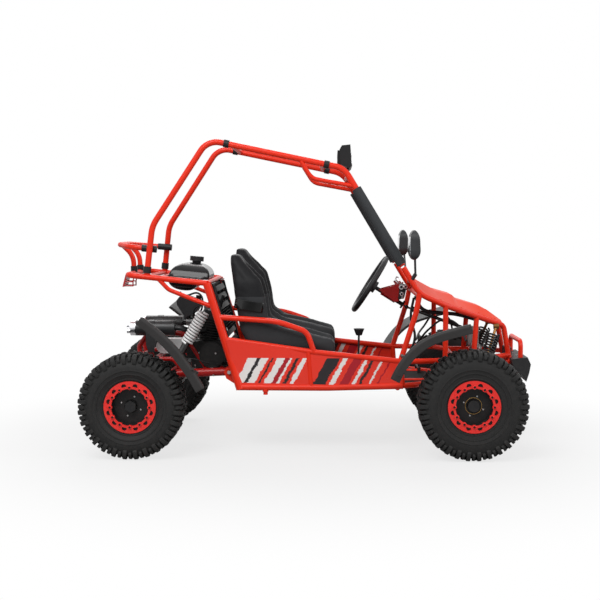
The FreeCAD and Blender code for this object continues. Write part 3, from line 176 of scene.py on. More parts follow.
# %% Floor finish
floor_look = bpy.data.materials.new("studio_floor")
floor_look.use_nodes = True
tree = floor_look.node_tree
floor_shader = tree.nodes["Principled BSDF"]
floor_shader.inputs["Base Color"].default_value = (0.50, 0.50, 0.50, 1)
floor_shader.inputs["Roughness"].default_value = 0.9
floor_shader.inputs["Specular IOR Level"].default_value = 0.1
floor_white = tree.nodes.new("ShaderNodeEmission")
floor_white.inputs["Color"].default_value = plain_white
floor_place = tree.nodes.new("ShaderNodeTexCoord")
floor_far = tree.nodes.new("ShaderNodeVectorMath")
floor_far.operation = "LENGTH"
floor_fade = tree.nodes.new("ShaderNodeMapRange")
floor_fade.interpolation_type = "SMOOTHSTEP"
floor_fade.inputs["From Min"].default_value = 0.8
floor_fade.inputs["From Max"].default_value = 2.2
floor_fade.inputs["To Min"].default_value = 0.74
floor_fade.inputs["To Max"].default_value = 1.0
floor_rays = tree.nodes.new("ShaderNodeLightPath")
floor_seen = tree.nodes.new("ShaderNodeMath")
floor_seen.operation = "MULTIPLY"
floor_mix = tree.nodes.new("ShaderNodeMixShader")
tree.links.new(floor_place.outputs["Object"], floor_far.inputs[0])
tree.links.new(floor_far.outputs["Value"], floor_fade.inputs["Value"])
tree.links.new(floor_fade.outputs["Result"], floor_seen.inputs[0])
tree.links.new(floor_rays.outputs["Is Camera Ray"], floor_seen.inputs[1])
tree.links.new(floor_seen.outputs[0], floor_mix.inputs["Fac"])
tree.links.new(floor_shader.outputs[0], floor_mix.inputs[1])
tree.links.new(floor_white.outputs[0], floor_mix.inputs[2])
tree.links.new(floor_mix.outputs[0], tree.nodes["Material Output"].inputs["Surface"])
floor.data.materials.append(floor_look)

# %% [markdown]
# Real surfaces are never one flat colour. Powder coat has a fine orange-peel, rubber is mottled and dusty,
# castings are grainy. Those effects turn up in many finishes, so each is made once as a node group with its
# own inputs, and every finish places it with other values. A group gives out only masks and heights; the
# shader itself stays in the material, where it is easy to find.

# %% Node groups: grain, patches and zones


def new_group(name, sockets_in, sockets_out):
    """An empty shader group with named float inputs and outputs."""
    group = bpy.data.node_groups.new(name, "ShaderNodeTree")
    for label, value in sockets_in:
        socket = group.interface.new_socket(name=label, in_out="INPUT", socket_type="NodeSocketFloat")
        socket.default_value = value
    for label in sockets_out:
        group.interface.new_socket(name=label, in_out="OUTPUT", socket_type="NodeSocketFloat")
    return group, group.nodes.new("NodeGroupInput"), group.nodes.new("NodeGroupOutput")


def math_node(tree, operation, first, second=None, clamp=False):
    """A Math node whose inputs are links or plain numbers; gives its output."""
    node = tree.nodes.new("ShaderNodeMath")
    node.operation = operation
    node.use_clamp = clamp
    for slot, source in ((0, first), (1, second)):
        if source is None:
            continue
        if isinstance(source, (int, float)):
            node.inputs[slot].default_value = source
        else:
            tree.links.new(source, node.inputs[slot])
    return node.outputs[0]


def noise_node(tree, vector, scale, detail=3.0, roughness=0.55):
    """A Noise Texture on the given coordinates; gives its value."""
    node = tree.nodes.new("ShaderNodeTexNoise")
    node.inputs["Detail"].default_value = detail
    node.inputs["Roughness"].default_value = roughness
    tree.links.new(vector, node.inputs["Vector"])
    if isinstance(scale, (int, float)):
        node.inputs["Scale"].default_value = scale
    else:
        tree.links.new(scale, node.inputs["Scale"])
    return node.outputs["Fac"]


def make_grain():
    """Fine grain for a bump and slow patches for the colour."""
    sockets = [("Grain scale", 600.0), ("Patch scale", 9.0)]
    group, inlet, outlet = new_group("grain", sockets, ["Grain", "Patches"])
    place = group.nodes.new("ShaderNodeTexCoord").outputs["Object"]
    grain = noise_node(group, place, inlet.outputs["Grain scale"], detail=2.0)
    patches = noise_node(group, place, inlet.outputs["Patch scale"], detail=5.0, roughness=0.6)
    group.links.new(grain, outlet.inputs["Grain"])
    group.links.new(patches, outlet.inputs["Patches"])
    return group


def make_dust():
    """Dust that settles in specks and thickens towards the ground."""
    least_speck = 0.42
    speck_gain = 4.0
    group, inlet, outlet = new_group("dust", [("Amount", 0.3), ("Top height", 0.5)], ["Mask"])
    place = group.nodes.new("ShaderNodeTexCoord").outputs["Object"]
    parts = group.nodes.new("ShaderNodeSeparateXYZ")
    group.links.new(place, parts.inputs[0])
    low = math_node(group, "DIVIDE", parts.outputs["Z"], inlet.outputs["Top height"])
    low = math_node(group, "SUBTRACT", 1.0, low, clamp=True)
    specks = noise_node(group, place, scale=60.0, detail=6.0, roughness=0.7)
    specks = math_node(group, "SUBTRACT", specks, least_speck, clamp=True)
    mask = math_node(group, "MULTIPLY", specks, low)
    mask = math_node(group, "MULTIPLY", mask, speck_gain)
    mask = math_node(group, "MULTIPLY", mask, inlet.outputs["Amount"], clamp=True)
    group.links.new(mask, outlet.inputs["Mask"])
    return group


def make_scuffs():
    """Long thin rub marks, as on paint that boots and straps touch."""
    least_mark = 0.64
    mark_gain = 9.0
    group, inlet, outlet = new_group("scuffs", [("Amount", 0.3)], ["Mask"])
    place = group.nodes.new("ShaderNodeTexCoord").outputs["Object"]
    stretch = group.nodes.new("ShaderNodeMapping")
    stretch.inputs["Scale"].default_value = (4.0, 4.0, 60.0)
    stretch.inputs["Rotation"].default_value = (0.3, 0.9, 0.2)
    group.links.new(place, stretch.inputs["Vector"])
    lines = noise_node(group, stretch.outputs[0], scale=6.0, detail=7.0, roughness=0.75)
    lines = math_node(group, "SUBTRACT", lines, least_mark, clamp=True)
    lines = math_node(group, "MULTIPLY", lines, mark_gain)
    lines = math_node(group, "MULTIPLY", lines, inlet.outputs["Amount"], clamp=True)
    group.links.new(lines, outlet.inputs["Mask"])
    return group


def make_zone():
    """One where a coordinate lies between two values, nought elsewhere, for pieces of two finishes."""
    group, inlet, outlet = new_group("zone", [("Coordinate", 0.0), ("Low", 0.0), ("High", 1.0)], ["Mask"])
    above = math_node(group, "GREATER_THAN", inlet.outputs["Coordinate"], inlet.outputs["Low"])
    below = math_node(group, "LESS_THAN", inlet.outputs["Coordinate"], inlet.outputs["High"])
    group.links.new(math_node(group, "MULTIPLY", above, below), outlet.inputs["Mask"])
    return group


grain_group = make_grain()
dust_group = make_dust()
scuff_group = make_scuffs()
zone_group = make_zone()
print("node groups:", [g.name for g in bpy.data.node_groups])

# %% [markdown]
# One recipe covers most of the finishes: two close colours mixed by the slow patches, a roughness that
# wanders a little, and a bump from the fine grain. Dust and scuffs are laid over it. Colours are written as
# they should look under plain light, in linear values.

# %% The recipe for a finish


def place_group(tree, group, **values):
    """Puts a group in a node tree and sets its inputs by name."""
    node = tree.nodes.new("ShaderNodeGroup")
    node.node_tree = group
    for label, value in values.items():
        node.inputs[label.replace("_", " ")].default_value = value
    return node


def mix_colour(tree, mask, first, second):
    """A colour between two, by a mask. Each colour is three numbers or a link."""
    node = tree.nodes.new("ShaderNodeMix")
    node.data_type = "RGBA"
    tree.links.new(mask, node.inputs["Factor"])
    for socket, source in ((node.inputs[6], first), (node.inputs[7], second)):
        if isinstance(source, tuple):
            socket.default_value = (*source, 1)
        else:
            tree.links.new(source, socket)
    return node.outputs[2]


def mix_value(tree, mask, first, second):
    """A number between two, by a mask."""
    node = tree.nodes.new("ShaderNodeMix")
    node.data_type = "FLOAT"
    tree.links.new(mask, node.inputs["Factor"])
    for socket, source in ((node.inputs[2], first), (node.inputs[3], second)):
        if isinstance(source, (int, float)):
            socket.default_value = source
        else:
            tree.links.new(source, socket)
    return node.outputs[0]


class Finish:
    """A material in the making: its tree, its shader, and the colour and roughness that feed it so far."""

    def __init__(self, name, dark, light, rough, grain, patch, bump, depth, metal=0.0, coat=0.0,
                 specular=0.5):
        self.material = bpy.data.materials.new(name)
        self.material.use_nodes = True
        self.tree = self.material.node_tree
        self.shader = self.tree.nodes["Principled BSDF"]
        self.shader.inputs["Metallic"].default_value = metal
        self.shader.inputs["Coat Weight"].default_value = coat
        self.shader.inputs["Coat Roughness"].default_value = 0.08
        self.shader.inputs["Specular IOR Level"].default_value = specular
        texture = place_group(self.tree, grain_group, Grain_scale=grain, Patch_scale=patch)
        self.patches = texture.outputs["Patches"]
        self.colour = mix_colour(self.tree, self.patches, dark, light)
        self.rough = mix_value(self.tree, self.patches, rough * 0.85, rough * 1.15)
        self.metal = None
        self.place = self.tree.nodes.new("ShaderNodeTexCoord").outputs["Object"]
        parts = self.tree.nodes.new("ShaderNodeSeparateXYZ")
        self.tree.links.new(self.place, parts.inputs[0])
        self.x, self.y, self.z = parts.outputs
        self.bump = self.tree.nodes.new("ShaderNodeBump")
        self.bump.inputs["Strength"].default_value = bump
        self.bump.inputs["Distance"].default_value = depth
        self.tree.links.new(texture.outputs["Grain"], self.bump.inputs["Height"])
        self.tree.links.new(self.bump.outputs[0], self.shader.inputs["Normal"])

    def over(self, mask, colour, rough=None, metal=None):
        """Lays another colour, roughness and metal over what is there, where the mask is one."""
        self.colour = mix_colour(self.tree, mask, self.colour, colour)
        if rough is not None:
            self.rough = mix_value(self.tree, mask, self.rough, rough)
        if metal is not None:
            before = self.metal if self.metal is not None else self.shader.inputs["Metallic"].default_value
            self.metal = mix_value(self.tree, mask, before, metal)

    def dusty(self, amount, top, colour):
        """Dust over the finish, thicker towards the ground and gone at the top height."""
        mask = place_group(self.tree, dust_group, Amount=amount, Top_height=top).outputs["Mask"]
        self.over(mask, colour, rough=0.9)

    def scuffed(self, amount, colour):
        """Rub marks over the finish."""
        mask = place_group(self.tree, scuff_group, Amount=amount).outputs["Mask"]
        self.over(mask, colour, rough=0.6)

    def zone(self, coordinate, low, high):
        """A mask between two values of a coordinate."""
        node = place_group(self.tree, zone_group, Low=low, High=high)
        self.tree.links.new(coordinate, node.inputs["Coordinate"])
        return node.outputs["Mask"]

    def ahead(self, lean, rag):
        """The forward coordinate, leaning with height and ragged by noise, for slanting stripes."""
        wander = noise_node(self.tree, self.place, scale=42.0, detail=5.0, roughness=0.75)
        wander = math_node(self.tree, "SUBTRACT", wander, 0.5)
        wander = math_node(self.tree, "MULTIPLY", wander, rag)
        shifted = math_node(self.tree, "ADD", self.x, wander)
        leaning = math_node(self.tree, "MULTIPLY", self.z, lean)
        return math_node(self.tree, "ADD", shifted, leaning)

    def done(self):
        """Wires the colour and roughness to the shader and gives the material."""
        self.tree.links.new(self.colour, self.shader.inputs["Base Color"])
        self.tree.links.new(self.rough, self.shader.inputs["Roughness"])
        if self.metal is not None:
            self.tree.links.new(self.metal, self.shader.inputs["Metallic"])
        return self.material


# %% [markdown]
# The frame is powder coated in a bright red that leans to orange. Powder coat flows a little before it sets,
# which leaves a shallow orange-peel under a glossy skin. The engine cradle and the wishbones have the same
# coat in a deeper red. The tank is the glossiest black, the wheels and brackets are satin.

# %% Paints
finishes = {}


def plain_finish(look, name, dark, light, dust=0.0, dust_top=0.5, dust_colour=None, scuffs=0.0,
                 scuff_colour=None, **values):
    """A finish that is the same all over a piece, kept under the name of its look."""
    made = Finish(name, dark, light, **values)
    if dust:
        made.dusty(dust, dust_top, dust_colour)
    if scuffs:
        made.scuffed(scuffs, scuff_colour)
    finishes[look] = made.done()


plain_finish("frame_red", "frame_red_paint", (0.66, 0.020, 0.005), (0.76, 0.030, 0.008),
             rough=0.36, grain=260.0, patch=5.0, bump=0.06, depth=0.0005, coat=0.06, specular=0.2,
             dust=0.04, dust_top=0.45, dust_colour=(0.42, 0.08, 0.05),
             scuffs=0.06, scuff_colour=(0.56, 0.06, 0.03))
plain_finish("cradle_red", "cradle_red_paint", (0.30, 0.004, 0.004), (0.38, 0.007, 0.006),
             rough=0.34, grain=260.0, patch=6.0, bump=0.06, depth=0.0005, coat=0.08, specular=0.25,
             dust=0.10, dust_top=0.5, dust_colour=(0.26, 0.09, 0.07))
plain_finish("bonnet_red", "bonnet_red_plastic", (0.72, 0.036, 0.006), (0.80, 0.046, 0.008),
             rough=0.40, grain=420.0, patch=4.0, bump=0.04, depth=0.0004, coat=0.02, specular=0.12,
             scuffs=0.05, scuff_colour=(0.60, 0.08, 0.03))
plain_finish("ring_red", "ring_red_paint", (0.66, 0.014, 0.011), (0.78, 0.022, 0.015),
             rough=0.32, grain=300.0, patch=12.0, bump=0.05, depth=0.0004, coat=0.2, specular=0.35,
             dust=0.06, dust_top=0.6, dust_colour=(0.36, 0.10, 0.08))
plain_finish("black_paint", "black_satin_paint", (0.010, 0.010, 0.011), (0.018, 0.018, 0.019),
             rough=0.42, grain=500.0, patch=10.0, bump=0.10, depth=0.0004, specular=0.2,
             dust=0.08, dust_top=0.7, dust_colour=(0.14, 0.12, 0.10))
plain_finish("black_gloss", "tank_black_paint", (0.005, 0.005, 0.006), (0.009, 0.009, 0.010),
             rough=0.20, grain=300.0, patch=5.0, bump=0.04, depth=0.0003, coat=0.15, specular=0.25)
plain_finish("rim_black", "wheel_black_paint", (0.008, 0.008, 0.009), (0.016, 0.015, 0.015),
             rough=0.40, grain=500.0, patch=14.0, bump=0.08, depth=0.0004, coat=0.03, specular=0.2,
             dust=0.08, dust_top=0.6, dust_colour=(0.14, 0.11, 0.09))

# %% [markdown]
# The side panels are the largest red faces, and a plain design breaks them up: slanting bars in white, black
# and dark red, with torn edges, thinner towards the front. An image would have to be drawn first and would
# blur close up. The bars are masks on the panel's own coordinates instead, so they stay sharp.

# %% Side panels
panel = Finish("side_panel_paint", (0.68, 0.024, 0.010), (0.76, 0.032, 0.013),
               rough=0.34, grain=300.0, patch=4.0, bump=0.04, depth=0.0004, coat=0.2, specular=0.3)
white_ink = (0.74, 0.70, 0.68)
black_ink = (0.014, 0.010, 0.012)
deep_red_ink = (0.36, 0.004, 0.012)
design_top = 0.425
design_foot = 0.306
foot_slope = 0.02
slant = panel.ahead(lean=-0.55, rag=0.034)
below_top = math_node(panel.tree, "LESS_THAN", panel.z, design_top)
sloped = math_node(panel.tree, "MULTIPLY", panel.x, foot_slope)
sloped = math_node(panel.tree, "ADD", panel.z, sloped)
above_foot = math_node(panel.tree, "GREATER_THAN", sloped, design_foot)
inside = math_node(panel.tree, "MULTIPLY", below_top, above_foot)
bars = [(-0.520, -0.428, white_ink), (-0.478, -0.462, black_ink), (-0.412, -0.402, black_ink),
        (-0.386, -0.318, white_ink), (-0.352, -0.330, deep_red_ink), (-0.300, -0.286, black_ink),
        (-0.270, -0.250, white_ink), (-0.160, -0.104, black_ink), (-0.088, -0.066, white_ink),
        (-0.040, 0.000, deep_red_ink), (0.014, 0.030, white_ink), (0.044, 0.058, black_ink),
        (0.090, 0.100, white_ink), (0.128, 0.136, deep_red_ink)]
for low_edge, high_edge, ink in bars:
    bar_mask = math_node(panel.tree, "MULTIPLY", panel.zone(slant, low_edge, high_edge), inside)
    panel.over(bar_mask, ink)
finishes["panel_red"] = panel.done()
print("bars of the panels:", len(bars))

# %% [markdown]
# Plastics and cloth follow the same recipe with other values. Moulded plastic has a pebbled skin, foam is
# soft and matte, and the floor pan is the dustiest. Its black is also the deepest, deepened with painted
# shade for the dark under the body. The bands of the seats are smooth and shine the most.

# %% Plastics, foam and cloth
plain_finish("black_plastic", "black_moulded_plastic", (0.012, 0.012, 0.013), (0.022, 0.022, 0.024),
             rough=0.48, grain=900.0, patch=7.0, bump=0.22, depth=0.0004, specular=0.25,
             dust=0.12, dust_top=0.8, dust_colour=(0.15, 0.13, 0.11),
             scuffs=0.10, scuff_colour=(0.07, 0.07, 0.07))
plain_finish("pad_foam", "pillar_foam", (0.028, 0.030, 0.032), (0.042, 0.044, 0.047),
             rough=0.78, grain=1500.0, patch=16.0, bump=0.35, depth=0.0005, specular=0.2)
plain_finish("seat_grey", "seat_shell_moulding", (0.026, 0.027, 0.029), (0.040, 0.041, 0.044),
             rough=0.55, grain=1100.0, patch=8.0, bump=0.25, depth=0.0004)
plain_finish("webbing", "belt_webbing", (0.002, 0.002, 0.002), (0.004, 0.004, 0.004),
             rough=0.10, grain=1400.0, patch=30.0, bump=0.05, depth=0.0002, specular=0.45)
plain_finish("guard_grey", "mudguard_plastic", (0.020, 0.019, 0.019), (0.032, 0.030, 0.030),
             rough=0.50, grain=800.0, patch=5.0, bump=0.12, depth=0.0004, specular=0.2,
             dust=0.06, dust_top=0.9, dust_colour=(0.12, 0.11, 0.10))
# The floor pan's near-black is deeper than the other blacks: painted shade under the body, with dust over it.
plain_finish("floor_black", "floor_black", (0.006, 0.006, 0.006), (0.012, 0.012, 0.012),
             rough=0.75, grain=300.0, patch=10.0, bump=0.3, depth=0.0006, specular=0.08,
             dust=0.20, dust_top=0.9, dust_colour=(0.06, 0.05, 0.04))

# %% [markdown]
# Some pieces change their finish part of the way along. The engine has a bright housing, the silencers have
# bright ends and each mirror has its glass. The front dampers are bronze and the rear ones dark. A mask on
# the forward coordinate says where the second finish lies, which saves cutting the pieces up.

# %% Pieces of two finishes
engine_black = Finish("engine_black", (0.006, 0.006, 0.007), (0.016, 0.016, 0.015),
                      rough=0.50, grain=420.0, patch=30.0, bump=0.3, depth=0.0006, specular=0.2)
engine_black.dusty(amount=0.12, top=0.9, colour=(0.10, 0.085, 0.07))
housing = engine_black.zone(engine_black.x, low=-0.760, high=-0.620)
engine_black.over(housing, (0.72, 0.72, 0.72), rough=0.40, metal=0.6)
finishes["engine_black"] = engine_black.done()

silencer = Finish("silencer_paint", (0.010, 0.010, 0.011), (0.018, 0.018, 0.019),
                  rough=0.38, grain=500.0, patch=8.0, bump=0.10, depth=0.0004, specular=0.4)
bright_end = silencer.zone(silencer.x, low=-0.880, high=-0.8285)
silencer.over(bright_end, (0.78, 0.78, 0.80), rough=0.22, metal=1.0)
finishes["silencer"] = silencer.done()

mirror_grey = Finish("mirror_moulding", (0.022, 0.023, 0.025), (0.032, 0.034, 0.036),
                     rough=0.34, grain=900.0, patch=5.0, bump=0.08, depth=0.0003, specular=0.35)
mirror_glass = mirror_grey.zone(mirror_grey.x, low=0.430, high=0.4385)
mirror_grey.over(mirror_glass, (0.30, 0.31, 0.32), rough=0.06, metal=1.0)
finishes["mirror_grey"] = mirror_grey.done()

damper = Finish("damper_metals", (0.06, 0.06, 0.06), (0.11, 0.11, 0.11),
                rough=0.36, grain=700.0, patch=25.0, bump=0.1, depth=0.0003, metal=1.0)
front_dampers_from = 0.4
in_front = math_node(damper.tree, "GREATER_THAN", damper.x, front_dampers_from)
damper.over(in_front, (0.20, 0.10, 0.035), rough=0.34)
finishes["damper"] = damper.done()

# %% [markdown]
# Metals get most of their colour from what they mirror, so their base colour stays pale. Castings are coarse
# and chrome is nearly smooth. The lens of the tail lamp is red plastic under a thick clear skin.

# %% Metals and the lamp's lens
plain_finish("brass", "brass", (0.42, 0.26, 0.09), (0.55, 0.36, 0.13),
             rough=0.34, grain=600.0, patch=20.0, bump=0.08, depth=0.0003, metal=1.0)
plain_finish("steel", "zinc_plated_steel", (0.36, 0.36, 0.37), (0.56, 0.55, 0.53),
             rough=0.34, grain=700.0, patch=25.0, bump=0.1, depth=0.0003, metal=1.0,
             dust=0.15, dust_top=0.6, dust_colour=(0.22, 0.18, 0.15))
plain_finish("spring_white", "spring_paint", (0.80, 0.80, 0.80), (0.90, 0.90, 0.90),
             rough=0.26, grain=400.0, patch=20.0, bump=0.03, depth=0.0003)
plain_finish("chrome", "chrome_plate", (0.66, 0.66, 0.68), (0.86, 0.86, 0.88),
             rough=0.14, grain=400.0, patch=20.0, bump=0.03, depth=0.0003, metal=1.0)
plain_finish("alloy", "cast_alloy", (0.26, 0.26, 0.27), (0.48, 0.47, 0.46),
             rough=0.42, grain=520.0, patch=30.0, bump=0.3, depth=0.0006, metal=1.0,
             dust=0.2, dust_top=0.9, dust_colour=(0.14, 0.12, 0.10))
plain_finish("lamp_red", "tail_lamp_lens", (0.40, 0.006, 0.006), (0.50, 0.010, 0.010),
             rough=0.18, grain=300.0, patch=20.0, bump=0.1, depth=0.0003, coat=0.6)
print("finishes:", len(finishes))

# %% [markdown]
# Every CAD piece names its finish in the part's record, so painting them is one loop. A few pieces have a
# look of their own, which comes before the record's. Tyres and seats wait for their finishes further on.

# %% Paint the CAD pieces
slot_of = {part["node"]: part["material_slot"] for part in frame["record"]["subparts"]}
# The floor pan's finish is black with painted shade in it.
own_look = {"exhaust": "silencer", "engine_case": "engine_black", "engine_cylinder": "engine_black",
            "firewall": "black_plastic", "front_mudguards": "guard_grey", "rear_mudguards": "guard_grey",
            "mirrors": "mirror_grey", "dampers": "damper", "steering_shaft": "black_paint",
            "rear_axle": "black_paint", "floor_pan": "floor_black"}


def paint(piece, material):
    """Gives a piece one material."""
    piece.data.materials.clear()
    piece.data.materials.append(material)


unpainted = []
for name, piece in frame["nodes"].items():
    look = own_look.get(name, slot_of.get(name))
    if look in finishes:
        paint(piece, finishes[look])
    else:
        unpainted.append(name)
print("painted later:", unpainted)

# %% [markdown]
# The rubber is the darkest matte thing on the buggy. Dust clings to it in specks, more of them lower down.

# %% Tyre rubber
plain_finish("tyre", "tyre_rubber", (0.009, 0.009, 0.009), (0.017, 0.017, 0.017),
             rough=0.66, grain=700.0, patch=18.0, bump=0.3, depth=0.0006, specular=0.25,
             dust=0.18, dust_top=0.9, dust_colour=(0.06, 0.054, 0.048))

# %% [markdown]
# Work by hand goes in small moves: choose a piece, pick some faces, pull them out, join, mirror. Each move
# is written once here. A corner of a flat plane that is pulled out point by point gives a line of edges.
# Filled and pushed out, the line becomes a slab. Closed and turned about an axis, it becomes a tyre.

# %% Moves of the hand


def deselect():
    """Nothing selected, as before any work by hand."""
    bpy.ops.object.select_all(action="DESELECT")


def work_on(piece):
    """Selects one piece alone and makes it active."""
    deselect()
    piece.select_set(True)
    bpy.context.view_layer.objects.active = piece


def pick_faces(piece, wanted):
    """In edit mode, selects the faces whose centre and normal pass the test."""
    bpy.ops.mesh.select_mode(type="FACE")
    bpy.ops.mesh.select_all(action="DESELECT")
    bpy.ops.object.mode_set(mode="OBJECT")
    for face in piece.data.polygons:
        face.select = bool(wanted(face.center, face.normal))
    bpy.ops.object.mode_set(mode="EDIT")


def settle(piece):
    """Moves a piece's place, turn and scale into its mesh."""
    work_on(piece)
    bpy.ops.object.transform_apply(location=True, rotation=True, scale=True)


def smooth(piece, degrees=35):
    """Smooth shading that keeps creases sharper than the angle."""
    work_on(piece)
    bpy.ops.object.shade_smooth_by_angle(angle=math.radians(degrees))


def own_copy(piece, name, matrix):
    """A copy with its own mesh, moved by the matrix; a mirrored copy has its faces turned out again."""
    copy = piece.copy()
    copy.data = piece.data.copy()
    copy.name = name
    copy.data.name = name
    scene.collection.objects.link(copy)
    copy.data.transform(matrix)
    if matrix.determinant() < 0:
        copy.data.flip_normals()
    return copy


def join(pieces, name):
    """Joins pieces into one mesh."""
    deselect()
    for piece in pieces:
        piece.select_set(True)
    bpy.context.view_layer.objects.active = pieces[0]
    bpy.ops.object.join()
    pieces[0].name = name
    pieces[0].data.name = name
    return pieces[0]


def drawn(name, points):
    """A line of edges pulled out of one corner, point by point; edit mode is left on."""
    deselect()
    bpy.ops.mesh.primitive_plane_add(size=0.001, location=(0, 0, 0))
    piece = bpy.context.object
    piece.name = name
    bpy.ops.object.mode_set(mode="EDIT")
    bpy.ops.mesh.select_mode(type="VERT")
    bpy.ops.mesh.select_all(action="SELECT")
    bpy.ops.mesh.merge(type="CENTER")
    bpy.ops.transform.translate(value=points[0])
    for before, after in zip(points, points[1:]):
        bpy.ops.mesh.extrude_region_move(TRANSFORM_OT_translate={"value": after - before})
    return piece


def spun(name, section, centre, axis, steps):
    """A closed section, drawn and then spun about an axis."""
    piece = drawn(name, section)
    bpy.ops.mesh.select_all(action="DESELECT")
    bpy.ops.object.mode_set(mode="OBJECT")
    piece.data.vertices[0].select = True
    piece.data.vertices[len(section) - 1].select = True
    bpy.ops.object.mode_set(mode="EDIT")
    bpy.ops.mesh.select_mode(type="VERT")
    bpy.ops.mesh.edge_face_add()
    bpy.ops.mesh.select_all(action="SELECT")
    bpy.ops.mesh.spin(steps=steps, angle=math.tau, center=centre, axis=axis)
    bpy.ops.mesh.select_all(action="SELECT")
    bpy.ops.mesh.remove_doubles(threshold=0.00002)
    bpy.ops.mesh.normals_make_consistent(inside=False)
    bpy.ops.object.mode_set(mode="OBJECT")
    return piece


def slab(name, points, depth, bevel):
    """A flat outline, drawn, filled and pushed out by depth, with its edges taken off."""
    piece = drawn(name, points)
    bpy.ops.mesh.select_all(action="SELECT")
    bpy.ops.mesh.edge_face_add()
    bpy.ops.mesh.extrude_region_move(TRANSFORM_OT_translate={"value": depth})
    bpy.ops.mesh.select_all(action="SELECT")
    bpy.ops.mesh.normals_make_consistent(inside=False)
    if bevel:
        bpy.ops.mesh.bevel(offset=bevel, segments=1, affect="EDGES")
    bpy.ops.object.mode_set(mode="OBJECT")
    return piece


def repeat_round(piece, centre, count):
    """Copies of a mesh at even steps round a sideways axis, in the same mesh."""
    work_on(piece)
    bpy.ops.object.mode_set(mode="EDIT")
    bpy.ops.mesh.select_all(action="SELECT")
    last_turn = math.tau * (count - 1) / count
    bpy.ops.mesh.spin(dupli=True, steps=count - 1, angle=last_turn, center=centre, axis=(0, 1, 0))
    bpy.ops.object.mode_set(mode="OBJECT")


# %% [markdown]
# An off-road tyre has a thin carcass and thick knobs. The carcass stops 14 mm short of the full radius, and
# the knobs reach it. The section runs from the inner bead round the tread to the outer bead and back inside.
# A thin rib rings the sidewall, where the real mould has its parting and a raised guard.

# %% Tyre carcass
knob_height = 0.014


def carcass(name, centre, radius, width):
    """The smooth body of a tyre. Its section is given as places across the tyre and radii."""
    half = width / 2
    bead = 0.075
    crown = radius - knob_height
    profile = [
        (-bead + 0.004, 0.1035), (-bead - 0.003, 0.115), (-bead - 0.005, 0.121), (-bead - 0.0072, 0.1225),
        (-bead - 0.0072, 0.1255), (-bead - 0.0062, 0.127), (-half + 0.006, 0.143), (-half + 0.0032, 0.1445),
        (-half + 0.0030, 0.1475), (-half + 0.0044, 0.149), (-half + 0.0022, 0.160), (-half + 0.0002, 0.1615),
        (-half, 0.1645), (-half + 0.0014, 0.166), (-half + 0.0014, 0.178), (-half + 0.006, crown - 0.028),
        (-half + 0.014, crown - 0.010), (-half + 0.030, crown - 0.002), (-half + 0.055, crown),
        (0.0, crown + 0.002)]
    outer = profile + [(-y, r) for y, r in reversed(profile[:-1])]
    lining = [(0.060, 0.112), (half - 0.022, 0.150), (half - 0.030, crown - 0.022), (0.0, crown - 0.014)]
    inner = lining + [(-y, r) for y, r in reversed(lining[:-1])]
    section = [centre + Vector((0, y, r)) for y, r in outer + inner]
    return spun(name, section, centre, (0, 1, 0), 96)


# %% [markdown]
# A knob is a small block of rubber. Modelling hundreds by hand would take days, so one group of knobs, a
# pitch, is made and then spun about the axle with duplicates, as the mould itself repeats. Shoulder knobs
# bend over the edge and reach down the sidewall, a long one and a short one in turn; the knobs of the middle
# rows are plain tapered blocks.

# %% Tyre knobs


def shoulder_knob(side, half, radius, length, reach, turn):
    """A knob that runs over the shoulder and down the sidewall; turn is its angle round the tyre."""
    section = [
        (half - 0.046, radius - 0.017), (half - 0.045, radius - 0.001), (half - 0.026, radius),
        (half - 0.009, radius - 0.006), (half - 0.002, radius - 0.017), (half, radius - reach),
        (half - 0.010, radius - reach - 0.012), (half - 0.030, radius - 0.022)]
    points = [Vector((-length / 2, side * y, z)) for y, z in section]
    block = slab("shoulder_knob", points, (length, 0, 0), 0.0016)
    block.data.transform(Matrix.Rotation(turn, 4, "Y"))
    return block


def middle_knob(side_place, radius, size, twist, turn):
    """A tapered block that stands on the tread."""
    deselect()
    bpy.ops.mesh.primitive_cube_add(size=1, location=(0, 0, 0))
    block = bpy.context.object
    block.scale = (*size, knob_height)
    bpy.ops.object.transform_apply(scale=True)
    bpy.ops.object.mode_set(mode="EDIT")
    pick_faces(block, lambda c, n: n.z > 0.5)
    bpy.ops.transform.resize(value=(0.82, 0.86, 1.0))
    bpy.ops.mesh.select_all(action="SELECT")
    bpy.ops.mesh.bevel(offset=0.0014, segments=1, affect="EDGES")
    bpy.ops.object.mode_set(mode="OBJECT")
    top_place = Matrix.Translation((0, side_place, radius - knob_height / 2 - 0.0006))
    stand = top_place @ Matrix.Rotation(twist, 4, "Z")
    block.data.transform(Matrix.Rotation(turn, 4, "Y") @ stand)
    return block


def tread(name, centre, radius, width, pitches):
    """All the knobs of a tyre: one pitch, spun round with duplicates."""
    half = width / 2
    pitch = math.tau / pitches
    step = pitch * radius
    pieces = []
    for side in (1, -1):
        start = 0.0 if side > 0 else pitch / 2
        pieces.append(shoulder_knob(side, half, radius, length=step * 0.34, reach=0.038, turn=start))
        pieces.append(shoulder_knob(side, half - 0.003, radius - 0.002, length=step * 0.26, reach=0.026,
                                    turn=start + pitch * 0.5))
        pieces.append(middle_knob(side * 0.033, radius, size=(step * 0.40, 0.024), twist=side * 0.45,
                                  turn=start + pitch * 0.24))
    pieces.append(middle_knob(0.006, radius, size=(step * 0.40, 0.020), twist=0.25, turn=0.0))
    pieces.append(middle_knob(-0.006, radius, size=(step * 0.36, 0.020), twist=-0.25, turn=pitch * 0.52))
    whole = join(pieces, name)
    whole.data.transform(Matrix.Translation(centre))
    repeat_round(whole, centre, pitches)
    return whole


def wheel_body(end, side_name):
    """The moving body of a wheel: each front wheel is one, and the rear wheels share the axle's."""
    return f"{side_name}_front_wheel_body" if end == "front" else "rear_axle_body"


